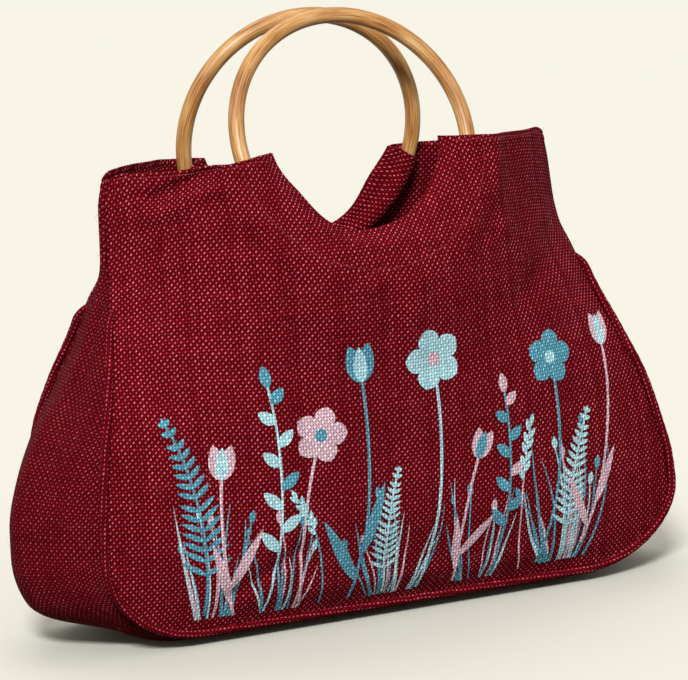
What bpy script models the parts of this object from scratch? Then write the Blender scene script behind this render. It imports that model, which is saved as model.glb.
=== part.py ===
"""Jute handbag with two cane ring handles.

Two cloth panels with a round notch at the top, a gusset strip sewn between them round the
sides and base, a piping cord along each seam, and a ring that stands in a cloth casing
behind each notch. Metres, +Z up, the front towards -Y, the base on z = 0.
"""

import math
from collections import namedtuple

import bpy
from mathutils import Matrix, Vector

# The body
BODY_WIDTH = 0.424  # panel at its widest, seam to seam
BASE_DEPTH = 0.120  # between the front and back seams at the base
RIM_HEIGHT = 0.310  # top edge of the panel at its ends
BELLY = 0.026  # how far a panel swells out past its seams
SEAM_LIFT = 0.008  # bottom seams above the floor
CORNER_LENGTH = 0.063  # rounded bottom corners of a panel
CORNER_HEIGHT = 0.052
GUSSET_SWELL = 0.038  # how far the gusset swells out at its fullest
FOLD_RISE = 0.006  # height of a full fold in a panel
PANEL_ROUNDNESS = 2.5  # 2 for a round section, more for a flatter middle
FOLD_REACH = 8  # power with which the folds die out at a panel's seams: more is nearer the seam
SEWN_SHARE = 0.04  # share of the gusset's depth, at each seam, where it lies flat
BASE_FROM = 0.375  # the gusset turns to base where its way out points down more than this
BASE_FULLNESS = 1.35  # how wide the base's flat is: at 1 it is a line
CLOTH = 0.0016  # jute cloth

# The handles
RING_RADIUS = 0.084  # middle of the cane
CANE = 0.0106  # thickness of the cane
NOTCH_MARGIN = 0.0215  # from the middle of the cane to the notch edge
FLARE_WAIST = 50.0  # degrees from straight down to where a flared notch is narrowest
FLARE_LOW = 0.3  # share of the flare that is left at the notch's bottom
RIDGE_SHARE = 0.5  # of that margin, over which the panel climbs onto the cane
CASING_MARGIN = 0.0085  # from the middle of the cane to the casing's outer edge
CASING_LIP = 0.0027  # how far forward that edge comes round the cane
CASING_DIP = 0.0006  # how far the casing sinks behind the panel before it reaches the cane
CASING_TURN = 0.6  # share of the way from the notch to the cane where it does
EAR_LEVEL = 0.2  # share of the rim, from its end, before it rises to the notch
HOLD_START = 0.005  # how far past the cane the panel still follows the ring's lean
HOLD_FADE = 0.040  # over which it then leaves it

# The seams
PIPING = 0.0054  # thickness of the covered cord
PIPING_GAP = 0.0004
PIPING_TOP = 0.73  # share of the rim's height where the piping ends, at the shoulders
SEAM_GAP = 0.0004  # between sewn layers
RING_GAP = 0.0005  # between the cane and its casing
PANEL_RING_GAP = 0.0013  # between the cane and the panel over it

# How finely the forms are cut
SIDE_STEPS, CORNER_STEPS, BASE_STEPS = 15, 8, 22
TOP_CROWDING = 1.4  # at 1 the rows of a panel are even, more brings them closer at the top
STRIP_SHARES = (0.0, SEWN_SHARE, 0.18, 0.34, 0.5, 0.66, 0.82, 1.0 - SEWN_SHARE, 1.0)
NOTCH_STEPS, EAR_STEPS = 16, 7
CASING_STEPS, RING_STEPS, CANE_SIDES = 24, 48, 8

# One row for each height of the body, from the floor up. Height is a share of RIM_HEIGHT,
# left and right of half BODY_WIDTH, seam of half BASE_DEPTH and middle of BELLY.
Section = namedtuple("Section", "height left right seam middle")
SECTIONS = [
    Section(0.000, 0.960, 0.975, 1.000, -0.05),
    Section(0.026, 0.960, 0.985, 1.000, 0.00),
    Section(0.100, 0.960, 1.010, 1.000, 0.56),
    Section(0.186, 0.960, 1.024, 1.000, 0.86),
    Section(0.258, 0.960, 1.016, 1.000, 0.97),
    Section(0.333, 0.953, 0.990, 0.985, 1.00),
    Section(0.438, 0.932, 0.948, 0.930, 1.00),
    Section(0.542, 0.890, 0.893, 0.770, 0.97),
    Section(0.647, 0.842, 0.845, 0.500, 0.92),
    Section(0.729, 0.812, 0.819, 0.300, 0.84),
    Section(0.785, 0.790, 0.804, 0.120, 0.74),
    Section(0.843, 0.786, 0.793, 0.075, 0.52),
    Section(0.925, 0.783, 0.780, 0.075, 0.20),
    Section(1.000, 0.757, 0.758, 0.075, -0.08),
]

# The gusset's swell at each height on its left and right, a share of GUSSET_SWELL.
Swell = namedtuple("Swell", "height left right")
SWELLS = [
    Swell(0.03, 0.50, 0.40),
    Swell(0.10, 0.82, 0.60),
    Swell(0.20, 1.00, 0.72),
    Swell(0.26, 0.98, 0.70),
    Swell(0.33, 0.90, 0.64),
    Swell(0.44, 0.68, 0.50),
    Swell(0.54, 0.42, 0.32),
    Swell(0.65, 0.14, 0.12),
    Swell(0.73, 0.06, 0.06),
    Swell(1.00, 0.06, 0.06),
]

# Folds in a panel: their two ends as shares of half BODY_WIDTH and of RIM_HEIGHT, their
# half width as a share of BELLY, and their rise as a share of FOLD_RISE, out of the bag.
Fold = namedtuple("Fold", "panel x0 z0 x1 z1 width rise")
FOLDS = [
    Fold("front", -0.47, 0.98, -0.66, 0.93, 0.36, -0.90),
    Fold("front", -0.50, 0.93, -0.64, 0.88, 0.40, 0.45),
    Fold("front", -0.88, 0.76, -0.68, 0.69, 0.42, -0.60),
    Fold("front", -0.86, 0.70, -0.66, 0.63, 0.50, 0.50),
    Fold("front", -0.05, 0.76, -0.06, 0.60, 0.38, -0.40),
    Fold("front", 0.06, 0.75, 0.05, 0.58, 0.38, 0.35),
    Fold("front", 0.48, 0.96, 0.44, 0.78, 0.45, -0.55),
    Fold("front", 0.62, 0.97, 0.60, 0.80, 0.50, 0.45),
    Fold("front", 0.66, 0.74, 0.42, 0.66, 0.60, -0.40),
    Fold("back", 0.46, 0.97, 0.62, 0.90, 0.42, -0.70),
    Fold("back", -0.46, 0.97, -0.60, 0.88, 0.42, -0.60),
    Fold("back", 0.84, 0.74, 0.62, 0.67, 0.46, -0.50),
    Fold("back", -0.80, 0.74, -0.58, 0.66, 0.46, -0.50),
    Fold("back", 0.04, 0.76, 0.02, 0.60, 0.42, -0.40),
]

# The two sides of the bag. Side is -1 for the front and 1 for the back. The heights are
# shares of RIM_HEIGHT: the rim at its two ends and at the notch's two corners, and the
# ring's middle. Depth is from the bag's middle plane to the ring's, a share of half
# BASE_DEPTH. Lean and turn are in degrees. Flare is how far the notch opens past a circle
# round the ring's middle, a share of RING_RADIUS.
Face = namedtuple("Face", "name side left notch_left notch_right right ring depth lean turn flare")
FACES = [
    Face("front", -1, 1.000, 1.022, 1.016, 0.995, 1.036, 0.708, 22.2, 0.9, 0.000),
    Face("back", 1, 1.000, 0.990, 0.972, 0.965, 1.016, 0.667, 12.0, -3.5, 0.119),
]

# Colours, linear
JUTE_RED = (0.195, 0.005, 0.014, 1.0)
JUTE_INSIDE = (0.110, 0.003, 0.008, 1.0)
CANE_HONEY = (0.610, 0.315, 0.110, 1.0)
CLOTH_ROUGHNESS, CANE_ROUGHNESS = 0.9, 0.35


def smooth_step(share):
    share = min(max(share, 0.0), 1.0)
    return share * share * (3.0 - 2.0 * share)


def mix(a, b, share):
    return a + (b - a) * share


def read(rows, height, column):
    """The column's value at a height, on a smooth curve through the table's rows."""
    ys = [getattr(row, column) for row in rows]
    xs = [row.height for row in rows]
    height = min(max(height, xs[0]), xs[-1])
    rates = [(y1 - y0) / (x1 - x0) for x0, x1, y0, y1 in zip(xs, xs[1:], ys, ys[1:])]
    slopes = [rates[0]]
    for before, after in zip(rates, rates[1:]):
        product = before * after
        slopes.append(2.0 * product / (before + after) if product > 0.0 else 0.0)
    slopes.append(rates[-1])
    i = max(k for k in range(len(xs) - 1) if xs[k] <= height)
    span = xs[i + 1] - xs[i]
    t = (height - xs[i]) / span
    rising = smooth_step(t)
    start = slopes[i] * span * t * (1.0 - t) ** 2
    end = slopes[i + 1] * span * t * t * (1.0 - t)
    return mix(ys[i], ys[i + 1], rising) + start - end


def half_width(z, edge):
    """From the bag's middle to its left (edge -1) or right (edge 1) seam at a height."""
    column = "left" if edge < 0 else "right"
    width = read(SECTIONS, z / RIM_HEIGHT, column) * BODY_WIDTH / 2
    below = min(max((SEAM_LIFT + CORNER_HEIGHT - z) / CORNER_HEIGHT, 0.0), 1.0)
    return width - CORNER_LENGTH * (1.0 - math.sqrt(1.0 - below * below))


def seam_depth(z):
    return read(SECTIONS, z / RIM_HEIGHT, "seam") * BASE_DEPTH / 2


def middle_depth(z):
    return BASE_DEPTH / 2 + read(SECTIONS, z / RIM_HEIGHT, "middle") * BELLY


def ring_frame(face):
    """The ring's middle and the directions across, up and out of its plane."""
    turn = math.radians(face.turn)
    lean = math.radians(face.lean)
    across = Vector((math.cos(turn), math.sin(turn), 0.0))
    outward = Vector((-math.sin(turn), math.cos(turn), 0.0)) * face.side
    middle = Vector((0.0, face.side * face.depth * BASE_DEPTH / 2, face.ring * RIM_HEIGHT))
    up = Vector((0.0, 0.0, math.cos(lean))) - outward * math.sin(lean)
    out = outward * math.cos(lean) + Vector((0.0, 0.0, math.sin(lean)))
    return middle, across, up, out


def on_ring_plane(face, radius, angle, offset=0.0):
    """A point in the ring's frame. Angle 0 is straight down and 90 degrees is to +X."""
    middle, across, up, out = ring_frame(face)
    return (
        middle
        + across * (radius * math.sin(angle))
        - up * (radius * math.cos(angle))
        + out * offset
    )


def notch_radius(face, angle):
    """From the ring's middle to the notch's edge, which runs straighter where it flares."""
    turned = abs(angle) / math.radians(FLARE_WAIST)
    wave = 0.5 * (1.0 + math.cos(math.pi * turned))
    strength = 1.0 if turned > 1.0 else FLARE_LOW
    return RING_RADIUS * (1.0 + face.flare * wave * strength) - NOTCH_MARGIN


def notch_reach(face, height):
    """The angle at which the notch's edge comes up to a height."""
    fall = face.ring * RIM_HEIGHT - height
    lean = math.cos(math.radians(face.lean))
    return math.acos(min(fall / ((RING_RADIUS - NOTCH_MARGIN) * lean), 1.0))


def fold_depth(face, x, z):
    """What the panel's folds add to its depth at a point."""
    total = 0.0
    for fold in FOLDS:
        if fold.panel != face.name:
            continue
        start = Vector((fold.x0 * BODY_WIDTH / 2, fold.z0 * RIM_HEIGHT))
        along = Vector((fold.x1 * BODY_WIDTH / 2, fold.z1 * RIM_HEIGHT)) - start
        away = Vector((x, z)) - start
        width = fold.width * BELLY
        share = min(max(away.dot(along) / along.length_squared, 0.0), 1.0)
        distance = (away - along * share).length / width
        total += fold.rise * FOLD_RISE * math.exp(-distance * distance)
    return total


def panel_depth(face, x, z):
    """How far the panel's outer face stands from the bag's middle plane."""
    seam = seam_depth(z)
    middle = middle_depth(z)
    share = min(abs(x) / half_width(z, x), 1.0)
    soft = seam + (middle - seam) * (1.0 - share**PANEL_ROUNDNESS)
    edge = 1.0 - share**FOLD_REACH
    soft += fold_depth(face, x, z) * edge
    centre, across, up, _ = ring_frame(face)
    v = (z - centre.z) / up.z
    u = (x - centre.x - v * up.x) / across.x
    plane = face.side * (centre.y + u * across.y + v * up.y)
    radius = math.hypot(u, v)
    notch = notch_radius(face, math.atan2(u, -v))
    margin = RING_RADIUS - notch
    ridge = smooth_step((radius - notch) / (margin * RIDGE_SHARE))
    flat = CLOTH + SEAM_GAP / 2
    over = CANE / 2 + PANEL_RING_GAP + CLOTH
    held = plane + mix(flat, over, ridge) / math.cos(math.radians(face.lean))
    edge_of_hold = RING_RADIUS + CANE / 2 + HOLD_START
    hold = 1.0 - smooth_step((radius - edge_of_hold) / HOLD_FADE)
    return mix(soft, held, hold)


def side_heights(top):
    """Heights of a side seam's points, from the rim down to the rounded corner."""
    low = SEAM_LIFT + CORNER_HEIGHT
    return [mix(top, low, (k / SIDE_STEPS) ** TOP_CROWDING) for k in range(SIDE_STEPS)]


def corner_heights():
    """Heights of the corner's points, at even turns of its quarter ellipse."""
    turns = [0.5 * math.pi * k / CORNER_STEPS for k in range(CORNER_STEPS + 1)]
    return [SEAM_LIFT + CORNER_HEIGHT * (1.0 - math.sin(turn)) for turn in turns]


def seam_outline(face):
    """The seam in the XZ plane, from the rim's left end round the base to its right end."""
    ends = []
    for edge, top in ((-1, face.left), (1, face.right)):
        heights = side_heights(top * RIM_HEIGHT) + corner_heights()
        ends.append([Vector((edge * half_width(z, edge), z)) for z in heights])
    left, right = ends[0], ends[1][::-1]
    base = [left[-1].lerp(right[0], k / BASE_STEPS) for k in range(1, BASE_STEPS)]
    return left + base + right


def outline_normals(points):
    """The direction out of the outline at each of its points."""
    normals = []
    last = len(points) - 1
    for i in range(last + 1):
        along = points[min(i + 1, last)] - points[max(i - 1, 0)]
        normals.append(Vector((along.y, -along.x)).normalized())
    return normals


def top_outline(face, left, right):
    """The panel's top edge in the XZ plane: rim, notch and rim, from left to right."""
    low = -notch_reach(face, face.notch_left * RIM_HEIGHT)
    high = notch_reach(face, face.notch_right * RIM_HEIGHT)
    turns = [mix(low, high, k / NOTCH_STEPS) for k in range(NOTCH_STEPS + 1)]
    notch = [on_ring_plane(face, notch_radius(face, turn), turn) for turn in turns]
    notch = [Vector((point.x, point.z)) for point in notch]
    ears = []
    for end, corner in ((left, notch[0]), (right, notch[-1])):
        ear = []
        for k in range(EAR_STEPS):
            share = k / EAR_STEPS
            point = end.lerp(corner, share)
            point.y = mix(end.y, corner.y, smooth_step((share - EAR_LEVEL) / (1.0 - EAR_LEVEL)))
            ear.append(point)
        ears.append(ear)
    return ears[0] + notch + ears[1][::-1]


def coons_grid(bottom, top, left, right):
    """Rows of points that fill the space between four edges."""
    rows = []
    for low, high in zip(left, right):
        v = (low.y - left[0].y) / (left[-1].y - left[0].y)
        row = []
        for i, (under, over) in enumerate(zip(bottom, top)):
            u = i / (len(bottom) - 1)
            corners = bottom[0].lerp(bottom[-1], u).lerp(top[0].lerp(top[-1], u), v)
            row.append(under.lerp(over, v) + low.lerp(high, u) - corners)
        rows.append(row)
    return rows


def material(name, colour, roughness):
    made = bpy.data.materials.new(name)
    made.use_nodes = True
    shader = made.node_tree.nodes["Principled BSDF"]
    shader.inputs["Base Color"].default_value = colour
    shader.inputs["Roughness"].default_value = roughness
    shader.inputs["Metallic"].default_value = 0.0
    return made


def place(name, data, colour, roughness):
    """Adds the object to the bag's collection with a material of its own."""
    thing = bpy.data.objects.new(name, data)
    data.materials.append(material(name + "_finish", colour, roughness))
    bpy.data.collections["jute_bag"].objects.link(thing)
    return thing


def sheet(name, rows, outward, colour):
    """A cloth wall from rows of points on its outer face. Outward is a point's way out."""
    points = [point for row in rows for point in row]
    across = len(rows[0])
    quads = []
    for j in range(len(rows) - 1):
        for i in range(across - 1):
            first = j * across + i
            quads.append((first, first + 1, first + across + 1, first + across))
    middle = rows[len(rows) // 2]
    k = across // 2
    after = rows[len(rows) // 2 + 1][k]
    facing = (middle[k + 1] - middle[k]).cross(after - middle[k])
    if facing.dot(outward) < 0.0:
        quads = [quad[::-1] for quad in quads]
    mesh = bpy.data.meshes.new(name)
    mesh.from_pydata(points, [], quads)
    mesh.shade_smooth()
    thing = place(name, mesh, colour, CLOTH_ROUGHNESS)
    wall = thing.modifiers.new("Cloth wall", "SOLIDIFY")
    wall.thickness = CLOTH
    wall.offset = -1.0
    return thing


def panel(face):
    outline = seam_outline(face)
    split = SIDE_STEPS + CORNER_STEPS // 2
    left = outline[: split + 1][::-1]
    right = outline[-split - 1 :]
    bottom = outline[split : len(outline) - split]
    top = top_outline(face, left[-1], right[-1])
    rows = [
        [
            Vector((point.x, face.side * panel_depth(face, point.x, point.y), point.y))
            for point in row
        ]
        for row in coons_grid(bottom, top, left, right)
    ]
    return sheet(face.name + "_panel", rows, Vector((0.0, face.side, 0.0)), JUTE_RED)


def gusset():
    """The strip between the panels' seams, from one end of the rim under the bag to the other."""
    outlines = [seam_outline(face) for face in FACES]
    normals = [outline_normals(outline) for outline in outlines]
    flat = SEAM_LIFT / GUSSET_SWELL
    rows = []
    for i in range(len(outlines[0])):
        out = normals[0][i]
        height = outlines[0][i].y / RIM_HEIGHT
        swell = read(SWELLS, height, "left" if out.x < 0.0 else "right")
        inset = CLOTH + SEAM_GAP
        ends = []
        for face, outline in zip(FACES, outlines):
            depth = face.side * (seam_depth(outline[i].y) - inset)
            ends.append(Vector((outline[i].x, depth, outline[i].y)))
        down = smooth_step((-out.y - BASE_FROM) / (1.0 - BASE_FROM))
        row = []
        for share in STRIP_SHARES:
            bend = abs(share - 0.5) / (0.5 - SEWN_SHARE)
            sides = max(1.0 - bend * bend, 0.0)
            base = min(BASE_FULLNESS * max(1.0 - bend**3, 0.0), 1.0)
            reach = GUSSET_SWELL * mix(swell * sides, flat * base, down)
            point = ends[0].lerp(ends[1], share)
            row.append(point + Vector((out.x, 0.0, out.y)) * reach)
        rows.append(row)
    return sheet("gusset", rows, Vector((0.0, 0.0, -1.0)), JUTE_RED)


def tube(name, points, thickness, colour, resolution):
    """A cord along the points, as a curve with a round bevel and closed ends."""
    curve = bpy.data.curves.new(name, "CURVE")
    curve.dimensions = "3D"
    curve.bevel_depth = thickness / 2
    curve.bevel_resolution = resolution
    curve.use_fill_caps = True
    spline = curve.splines.new("POLY")
    spline.points.add(len(points) - 1)
    for target, point in zip(spline.points, points):
        target.co = (*point, 1.0)
    return place(name, curve, colour, CLOTH_ROUGHNESS)


def piping(face):
    """The covered cord in the corner where the panel meets the gusset."""
    outline = seam_outline(face)
    reach = (PIPING / 2 + PIPING_GAP) * math.sqrt(0.5)
    points = []
    for point, out in zip(outline, outline_normals(outline)):
        if point.y > PIPING_TOP * RIM_HEIGHT:
            continue
        depth = face.side * (seam_depth(point.y) + reach)
        points.append(Vector((point.x + out.x * reach, depth, point.y + out.y * reach)))
    return tube(face.name + "_piping", points, PIPING, JUTE_RED, 1)


def casing(face):
    """The cloth channel that holds the ring against the back of the panel."""
    step = math.pi / 4
    reach = (CANE / 2 + RING_GAP) / math.cos(step / 2)
    hollow = [(-reach * math.cos(k * step), -reach * math.sin(k * step)) for k in range(1, 4)]
    low = -notch_reach(face, face.notch_left * RIM_HEIGHT)
    high = notch_reach(face, face.notch_right * RIM_HEIGHT)
    rows = []
    for k in range(CASING_STEPS + 1):
        angle = mix(low, high, k / CASING_STEPS)
        notch = notch_radius(face, angle) - RING_RADIUS
        section = [(notch, -SEAM_GAP / 2), (mix(notch, -reach, CASING_TURN), -CASING_DIP)]
        section += hollow + [(reach, 0.0), (CASING_MARGIN, CASING_LIP)]
        rows.append([on_ring_plane(face, RING_RADIUS + r, angle, n) for r, n in section])
    return sheet(face.name + "_casing", rows, ring_frame(face)[3], JUTE_INSIDE)


def ring(face):
    bpy.ops.mesh.primitive_torus_add(
        major_segments=RING_STEPS,
        minor_segments=CANE_SIDES,
        major_radius=RING_RADIUS,
        minor_radius=CANE / 2,
    )
    mesh = bpy.context.object.data
    bpy.data.objects.remove(bpy.context.object)
    mesh.name = face.name + "_ring"
    mesh.shade_smooth()
    middle, across, up, out = ring_frame(face)
    thing = place(face.name + "_ring", mesh, CANE_HONEY, CANE_ROUGHNESS)
    axis = across.cross(up)
    turned = Matrix((across, up, axis)).transposed().to_4x4()
    thing.matrix_world = Matrix.Translation(middle) @ turned
    return thing


def stand_on_origin(things):
    """Moves the bag so that the origin lies on the floor, under the middle of its box."""
    bpy.context.view_layer.update()
    graph = bpy.context.evaluated_depsgraph_get()
    points = []
    for thing in things:
        shape = thing.evaluated_get(graph)
        points += [shape.matrix_world @ vertex.co for vertex in shape.to_mesh().vertices]
        shape.to_mesh_clear()
    low = [min(point[i] for point in points) for i in range(3)]
    high = [max(point[i] for point in points) for i in range(3)]
    shift = Vector((-(low[0] + high[0]) / 2, -(low[1] + high[1]) / 2, -low[2]))
    for thing in things:
        thing.location += shift


def main():
    for thing in list(bpy.data.objects):
        bpy.data.objects.remove(thing)
    collection = bpy.data.collections.new("jute_bag")
    bpy.context.scene.collection.children.link(collection)
    things = [gusset()]
    for face in FACES:
        things += [panel(face), piping(face), casing(face), ring(face)]
    stand_on_origin(things)


main()
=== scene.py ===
# %% [markdown]
# # A jute handbag with two cane rings
#
# This is a soft bag of coarse jute cloth, dyed wine red. Two panels are sewn to one long
# gusset strip, with a covered cord in each seam. Each panel has a scooped notch at the top,
# and a varnished cane ring is held in a channel behind it.
#
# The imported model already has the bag's true form, cut into flat facets. Here the same form
# is worked out again on a fine grid, so that the cloth turns softly, and every surface gets
# its weave, seams and finish. Lengths are in metres unless a name says millimetres.

import math
from collections import namedtuple

import bpy
import numpy as np
from mathutils import Matrix, Vector


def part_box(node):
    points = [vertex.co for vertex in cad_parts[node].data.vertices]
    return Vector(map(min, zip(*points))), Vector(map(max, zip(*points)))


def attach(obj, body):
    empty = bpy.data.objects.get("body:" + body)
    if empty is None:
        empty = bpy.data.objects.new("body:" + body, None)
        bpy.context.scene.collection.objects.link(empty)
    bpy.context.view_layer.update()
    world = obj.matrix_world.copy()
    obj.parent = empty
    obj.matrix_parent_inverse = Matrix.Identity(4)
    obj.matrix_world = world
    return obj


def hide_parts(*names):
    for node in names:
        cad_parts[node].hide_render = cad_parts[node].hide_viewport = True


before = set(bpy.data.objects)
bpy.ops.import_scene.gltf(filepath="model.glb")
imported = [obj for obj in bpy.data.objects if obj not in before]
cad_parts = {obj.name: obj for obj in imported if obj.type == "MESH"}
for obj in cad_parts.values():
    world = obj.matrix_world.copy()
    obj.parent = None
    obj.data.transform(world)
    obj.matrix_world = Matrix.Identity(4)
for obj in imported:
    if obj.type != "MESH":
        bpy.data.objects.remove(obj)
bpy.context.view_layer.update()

print("packed nodes:", ", ".join(sorted(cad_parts)))

# %% [markdown]
# ## The sizes of the bag
#
# The panels, the gusset and the rings all follow from a few sizes and some short tables, which
# stand where they are first used. The first says how wide and deep the bag is at each height.
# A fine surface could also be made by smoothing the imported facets, but smoothing pulls thin
# cloth inwards and loses the seams. Working the form out again keeps both where they are.

# %% Sizes
BODY_WIDTH = 0.424
BASE_DEPTH = 0.120
RIM_HEIGHT = 0.310
CLOTH = 0.0016
RING_RADIUS = 0.084
CANE = 0.0106
print("bag:", round(BODY_WIDTH * 1000), "mm across and", round(RIM_HEIGHT * 1000), "mm to its rim")

# %% The bag's section at each height
# Height is a share of the rim's. Left and right are shares of half the bag's width, seam is
# a share of half the base's depth, and middle is a share of the belly.
Section = namedtuple("Section", "height left right seam middle")
SECTIONS = [
    Section(0.000, 0.960, 0.975, 1.000, -0.05),
    Section(0.026, 0.960, 0.985, 1.000, 0.00),
    Section(0.100, 0.960, 1.010, 1.000, 0.56),
    Section(0.186, 0.960, 1.024, 1.000, 0.86),
    Section(0.258, 0.960, 1.016, 1.000, 0.97),
    Section(0.333, 0.953, 0.990, 0.985, 1.00),
    Section(0.438, 0.932, 0.948, 0.930, 1.00),
    Section(0.542, 0.890, 0.893, 0.770, 0.97),
    Section(0.647, 0.842, 0.845, 0.500, 0.92),
    Section(0.729, 0.812, 0.819, 0.300, 0.84),
    Section(0.785, 0.790, 0.804, 0.120, 0.74),
    Section(0.843, 0.786, 0.793, 0.075, 0.52),
    Section(0.925, 0.783, 0.780, 0.075, 0.20),
    Section(1.000, 0.757, 0.758, 0.075, -0.08),
]
print(len(SECTIONS), "sections")

# %% Reading a table smoothly


def smooth_step(share):
    share = np.clip(share, 0.0, 1.0)
    return share * share * (3.0 - 2.0 * share)


def mix(a, b, share):
    return a + (b - a) * share


def read(rows, heights, column):
    """The column's values at some heights, on a smooth curve through the table's rows."""
    xs = np.array([row.height for row in rows])
    ys = np.array([getattr(row, column) for row in rows])
    rates = np.diff(ys) / np.diff(xs)
    product = rates[:-1] * rates[1:]
    total = np.where(product > 0.0, rates[:-1] + rates[1:], 1.0)
    inner = np.where(product > 0.0, 2.0 * product / total, 0.0)
    slopes = np.concatenate([rates[:1], inner, rates[-1:]])
    heights = np.clip(heights, xs[0], xs[-1])
    i = np.clip(np.searchsorted(xs, heights, side="right") - 1, 0, len(xs) - 2)
    span = xs[i + 1] - xs[i]
    t = (heights - xs[i]) / span
    start = slopes[i] * span * t * (1.0 - t) ** 2
    end = slopes[i + 1] * span * t * t * (1.0 - t)
    return mix(ys[i], ys[i + 1], smooth_step(t)) + start - end


floor_share = float(read(SECTIONS, 0.0, "left"))
print("half width at the floor:", round(floor_share * BODY_WIDTH / 2, 4), "m")

# %% The seams of the body
SEAM_LIFT = 0.011
CORNER_LENGTH = 0.063
CORNER_HEIGHT = 0.052
BELLY = 0.026


def half_width(z, edge):
    """From the bag's middle to its seam on the left (edge below 0) or right."""
    left = read(SECTIONS, z / RIM_HEIGHT, "left")
    right = read(SECTIONS, z / RIM_HEIGHT, "right")
    width = np.where(np.asarray(edge) < 0.0, left, right) * BODY_WIDTH / 2
    below = np.clip((SEAM_LIFT + CORNER_HEIGHT - z) / CORNER_HEIGHT, 0.0, 1.0)
    return width - CORNER_LENGTH * (1.0 - np.sqrt(1.0 - below * below))


def seam_depth(z):
    return read(SECTIONS, z / RIM_HEIGHT, "seam") * BASE_DEPTH / 2


def middle_depth(z):
    return BASE_DEPTH / 2 + read(SECTIONS, z / RIM_HEIGHT, "middle") * BELLY


print("middle to right seam at 100 mm up:", round(float(half_width(0.1, 1)), 3), "m")

# %% [markdown]
# ## Where the rings stand
#
# Each ring is a true circle that leans back over the mouth and is turned a little about the
# upright. Its plane also carries the cloth near the notch, because the channel sewn there
# follows the ring. A small frame of directions for each ring gives every point in its plane
# from an angle and a distance from the ring's middle.

# %% The rings' planes
NOTCH_MARGIN = 0.0215
FLARE_WAIST = 50.0
FLARE_LOW = 0.3

# The five heights, from left to ring, are shares of the rim's, and depth is a share of half
# the base's. Lean and turn are in degrees. Flare widens the notch, mostly at its sides, by a
# share of the ring's radius.
Face = namedtuple("Face", "name side left notch_left notch_right right ring depth lean turn flare")
FACES = [
    Face("front", -1, 1.000, 1.022, 1.016, 0.995, 1.036, 0.708, 22.2, 0.9, 0.000),
    Face("back", 1, 1.000, 0.990, 0.972, 0.965, 1.016, 0.667, 12.0, -3.5, 0.119),
]

# The notch's edge leaves its circle a little where the cloth has been pulled.
Dip = namedtuple("Dip", "panel angle width out_mm")
NOTCH_DIPS = [
    Dip("front", -56.0, 17.0, -3.2),
    Dip("front", -20.0, 20.0, 2.8),
    Dip("front", 52.0, 20.0, -2.0),
    Dip("back", 10.0, 22.0, 5.5),
    Dip("back", 34.0, 17.0, 5.0),
    Dip("back", -30.0, 20.0, 2.0),
]


def ring_frame(face):
    """The ring's middle and the directions across, up and out of its plane."""
    turn = math.radians(face.turn)
    lean = math.radians(face.lean)
    across = np.array([math.cos(turn), math.sin(turn), 0.0])
    outward = np.array([-math.sin(turn), math.cos(turn), 0.0]) * face.side
    middle = np.array([0.0, face.side * face.depth * BASE_DEPTH / 2, face.ring * RIM_HEIGHT])
    upright = np.array([0.0, 0.0, 1.0])
    up = upright * math.cos(lean) - outward * math.sin(lean)
    out = outward * math.cos(lean) + upright * math.sin(lean)
    return middle, across, up, out


def on_ring_plane(face, radius, angle, offset=0.0):
    """Points in the ring's frame. Angle 0 is straight down and 90 degrees is to +X."""
    middle, across, up, out = ring_frame(face)
    radius, angle, offset = np.broadcast_arrays(radius, angle, offset)
    sideways = (radius * np.sin(angle))[..., None] * across
    down = (radius * np.cos(angle))[..., None] * up
    return middle + sideways - down + offset[..., None] * out


def notch_radius(face, angle):
    turned = np.abs(angle) / math.radians(FLARE_WAIST)
    wave = 0.5 * (1.0 + np.cos(math.pi * turned))
    strength = np.where(turned > 1.0, 1.0, FLARE_LOW)
    radius = RING_RADIUS * (1.0 + face.flare * wave * strength) - NOTCH_MARGIN
    for dip in NOTCH_DIPS:
        if dip.panel == face.name:
            off = (np.degrees(angle) - dip.angle) / dip.width
            radius = radius + dip.out_mm / 1000 * np.exp(-off * off)
    return radius


def notch_reach(face, height):
    """The angle at which the notch's edge comes up to a height."""
    fall = face.ring * RIM_HEIGHT - height
    lean = math.cos(math.radians(face.lean))
    return math.acos(min(fall / ((RING_RADIUS - NOTCH_MARGIN) * lean), 1.0))


for face in FACES:
    print(face.name, "ring middle", np.round(ring_frame(face)[0], 4))

# %% [markdown]
# ## Where the floor is
#
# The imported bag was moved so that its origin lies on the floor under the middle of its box.
# The formulas above are from before that move. The front ring is a clean torus, so the
# middle of its packed box, set against the same box by formula, gives the move exactly.

# %% The move onto the origin
RING_SAMPLES = 2880


def ring_box_middle(face):
    angles = np.linspace(0.0, 2.0 * math.pi, RING_SAMPLES, endpoint=False)
    points = on_ring_plane(face, RING_RADIUS, angles)
    return (points.min(axis=0) + points.max(axis=0)) / 2


ring_low, ring_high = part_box("front_ring")
packed_middle = (np.array(ring_low) + np.array(ring_high)) / 2
MOVE = packed_middle - ring_box_middle(FACES[0])
MOVE[2] = 0.0
print("moved by", np.round(MOVE * 1000, 3), "mm")

# %% [markdown]
# ## Colours and shader nodes
#
# Colours are picked as sRGB hex values, the way a paint program shows them. Blender
# works in linear light, so one function turns them. Another adds a shader node with its
# settings and its links in one line, which keeps a material readable from top to bottom.

# %% Colour and node helpers


def linear(hex_colour):
    """An sRGB hex colour as linear red, green, blue and a full alpha."""
    parts = [int(hex_colour[i : i + 2], 16) / 255 for i in (1, 3, 5)]
    turned = [c / 12.92 if c <= 0.04045 else ((c + 0.055) / 1.055) ** 2.4 for c in parts]
    return (*turned, 1.0)


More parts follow.
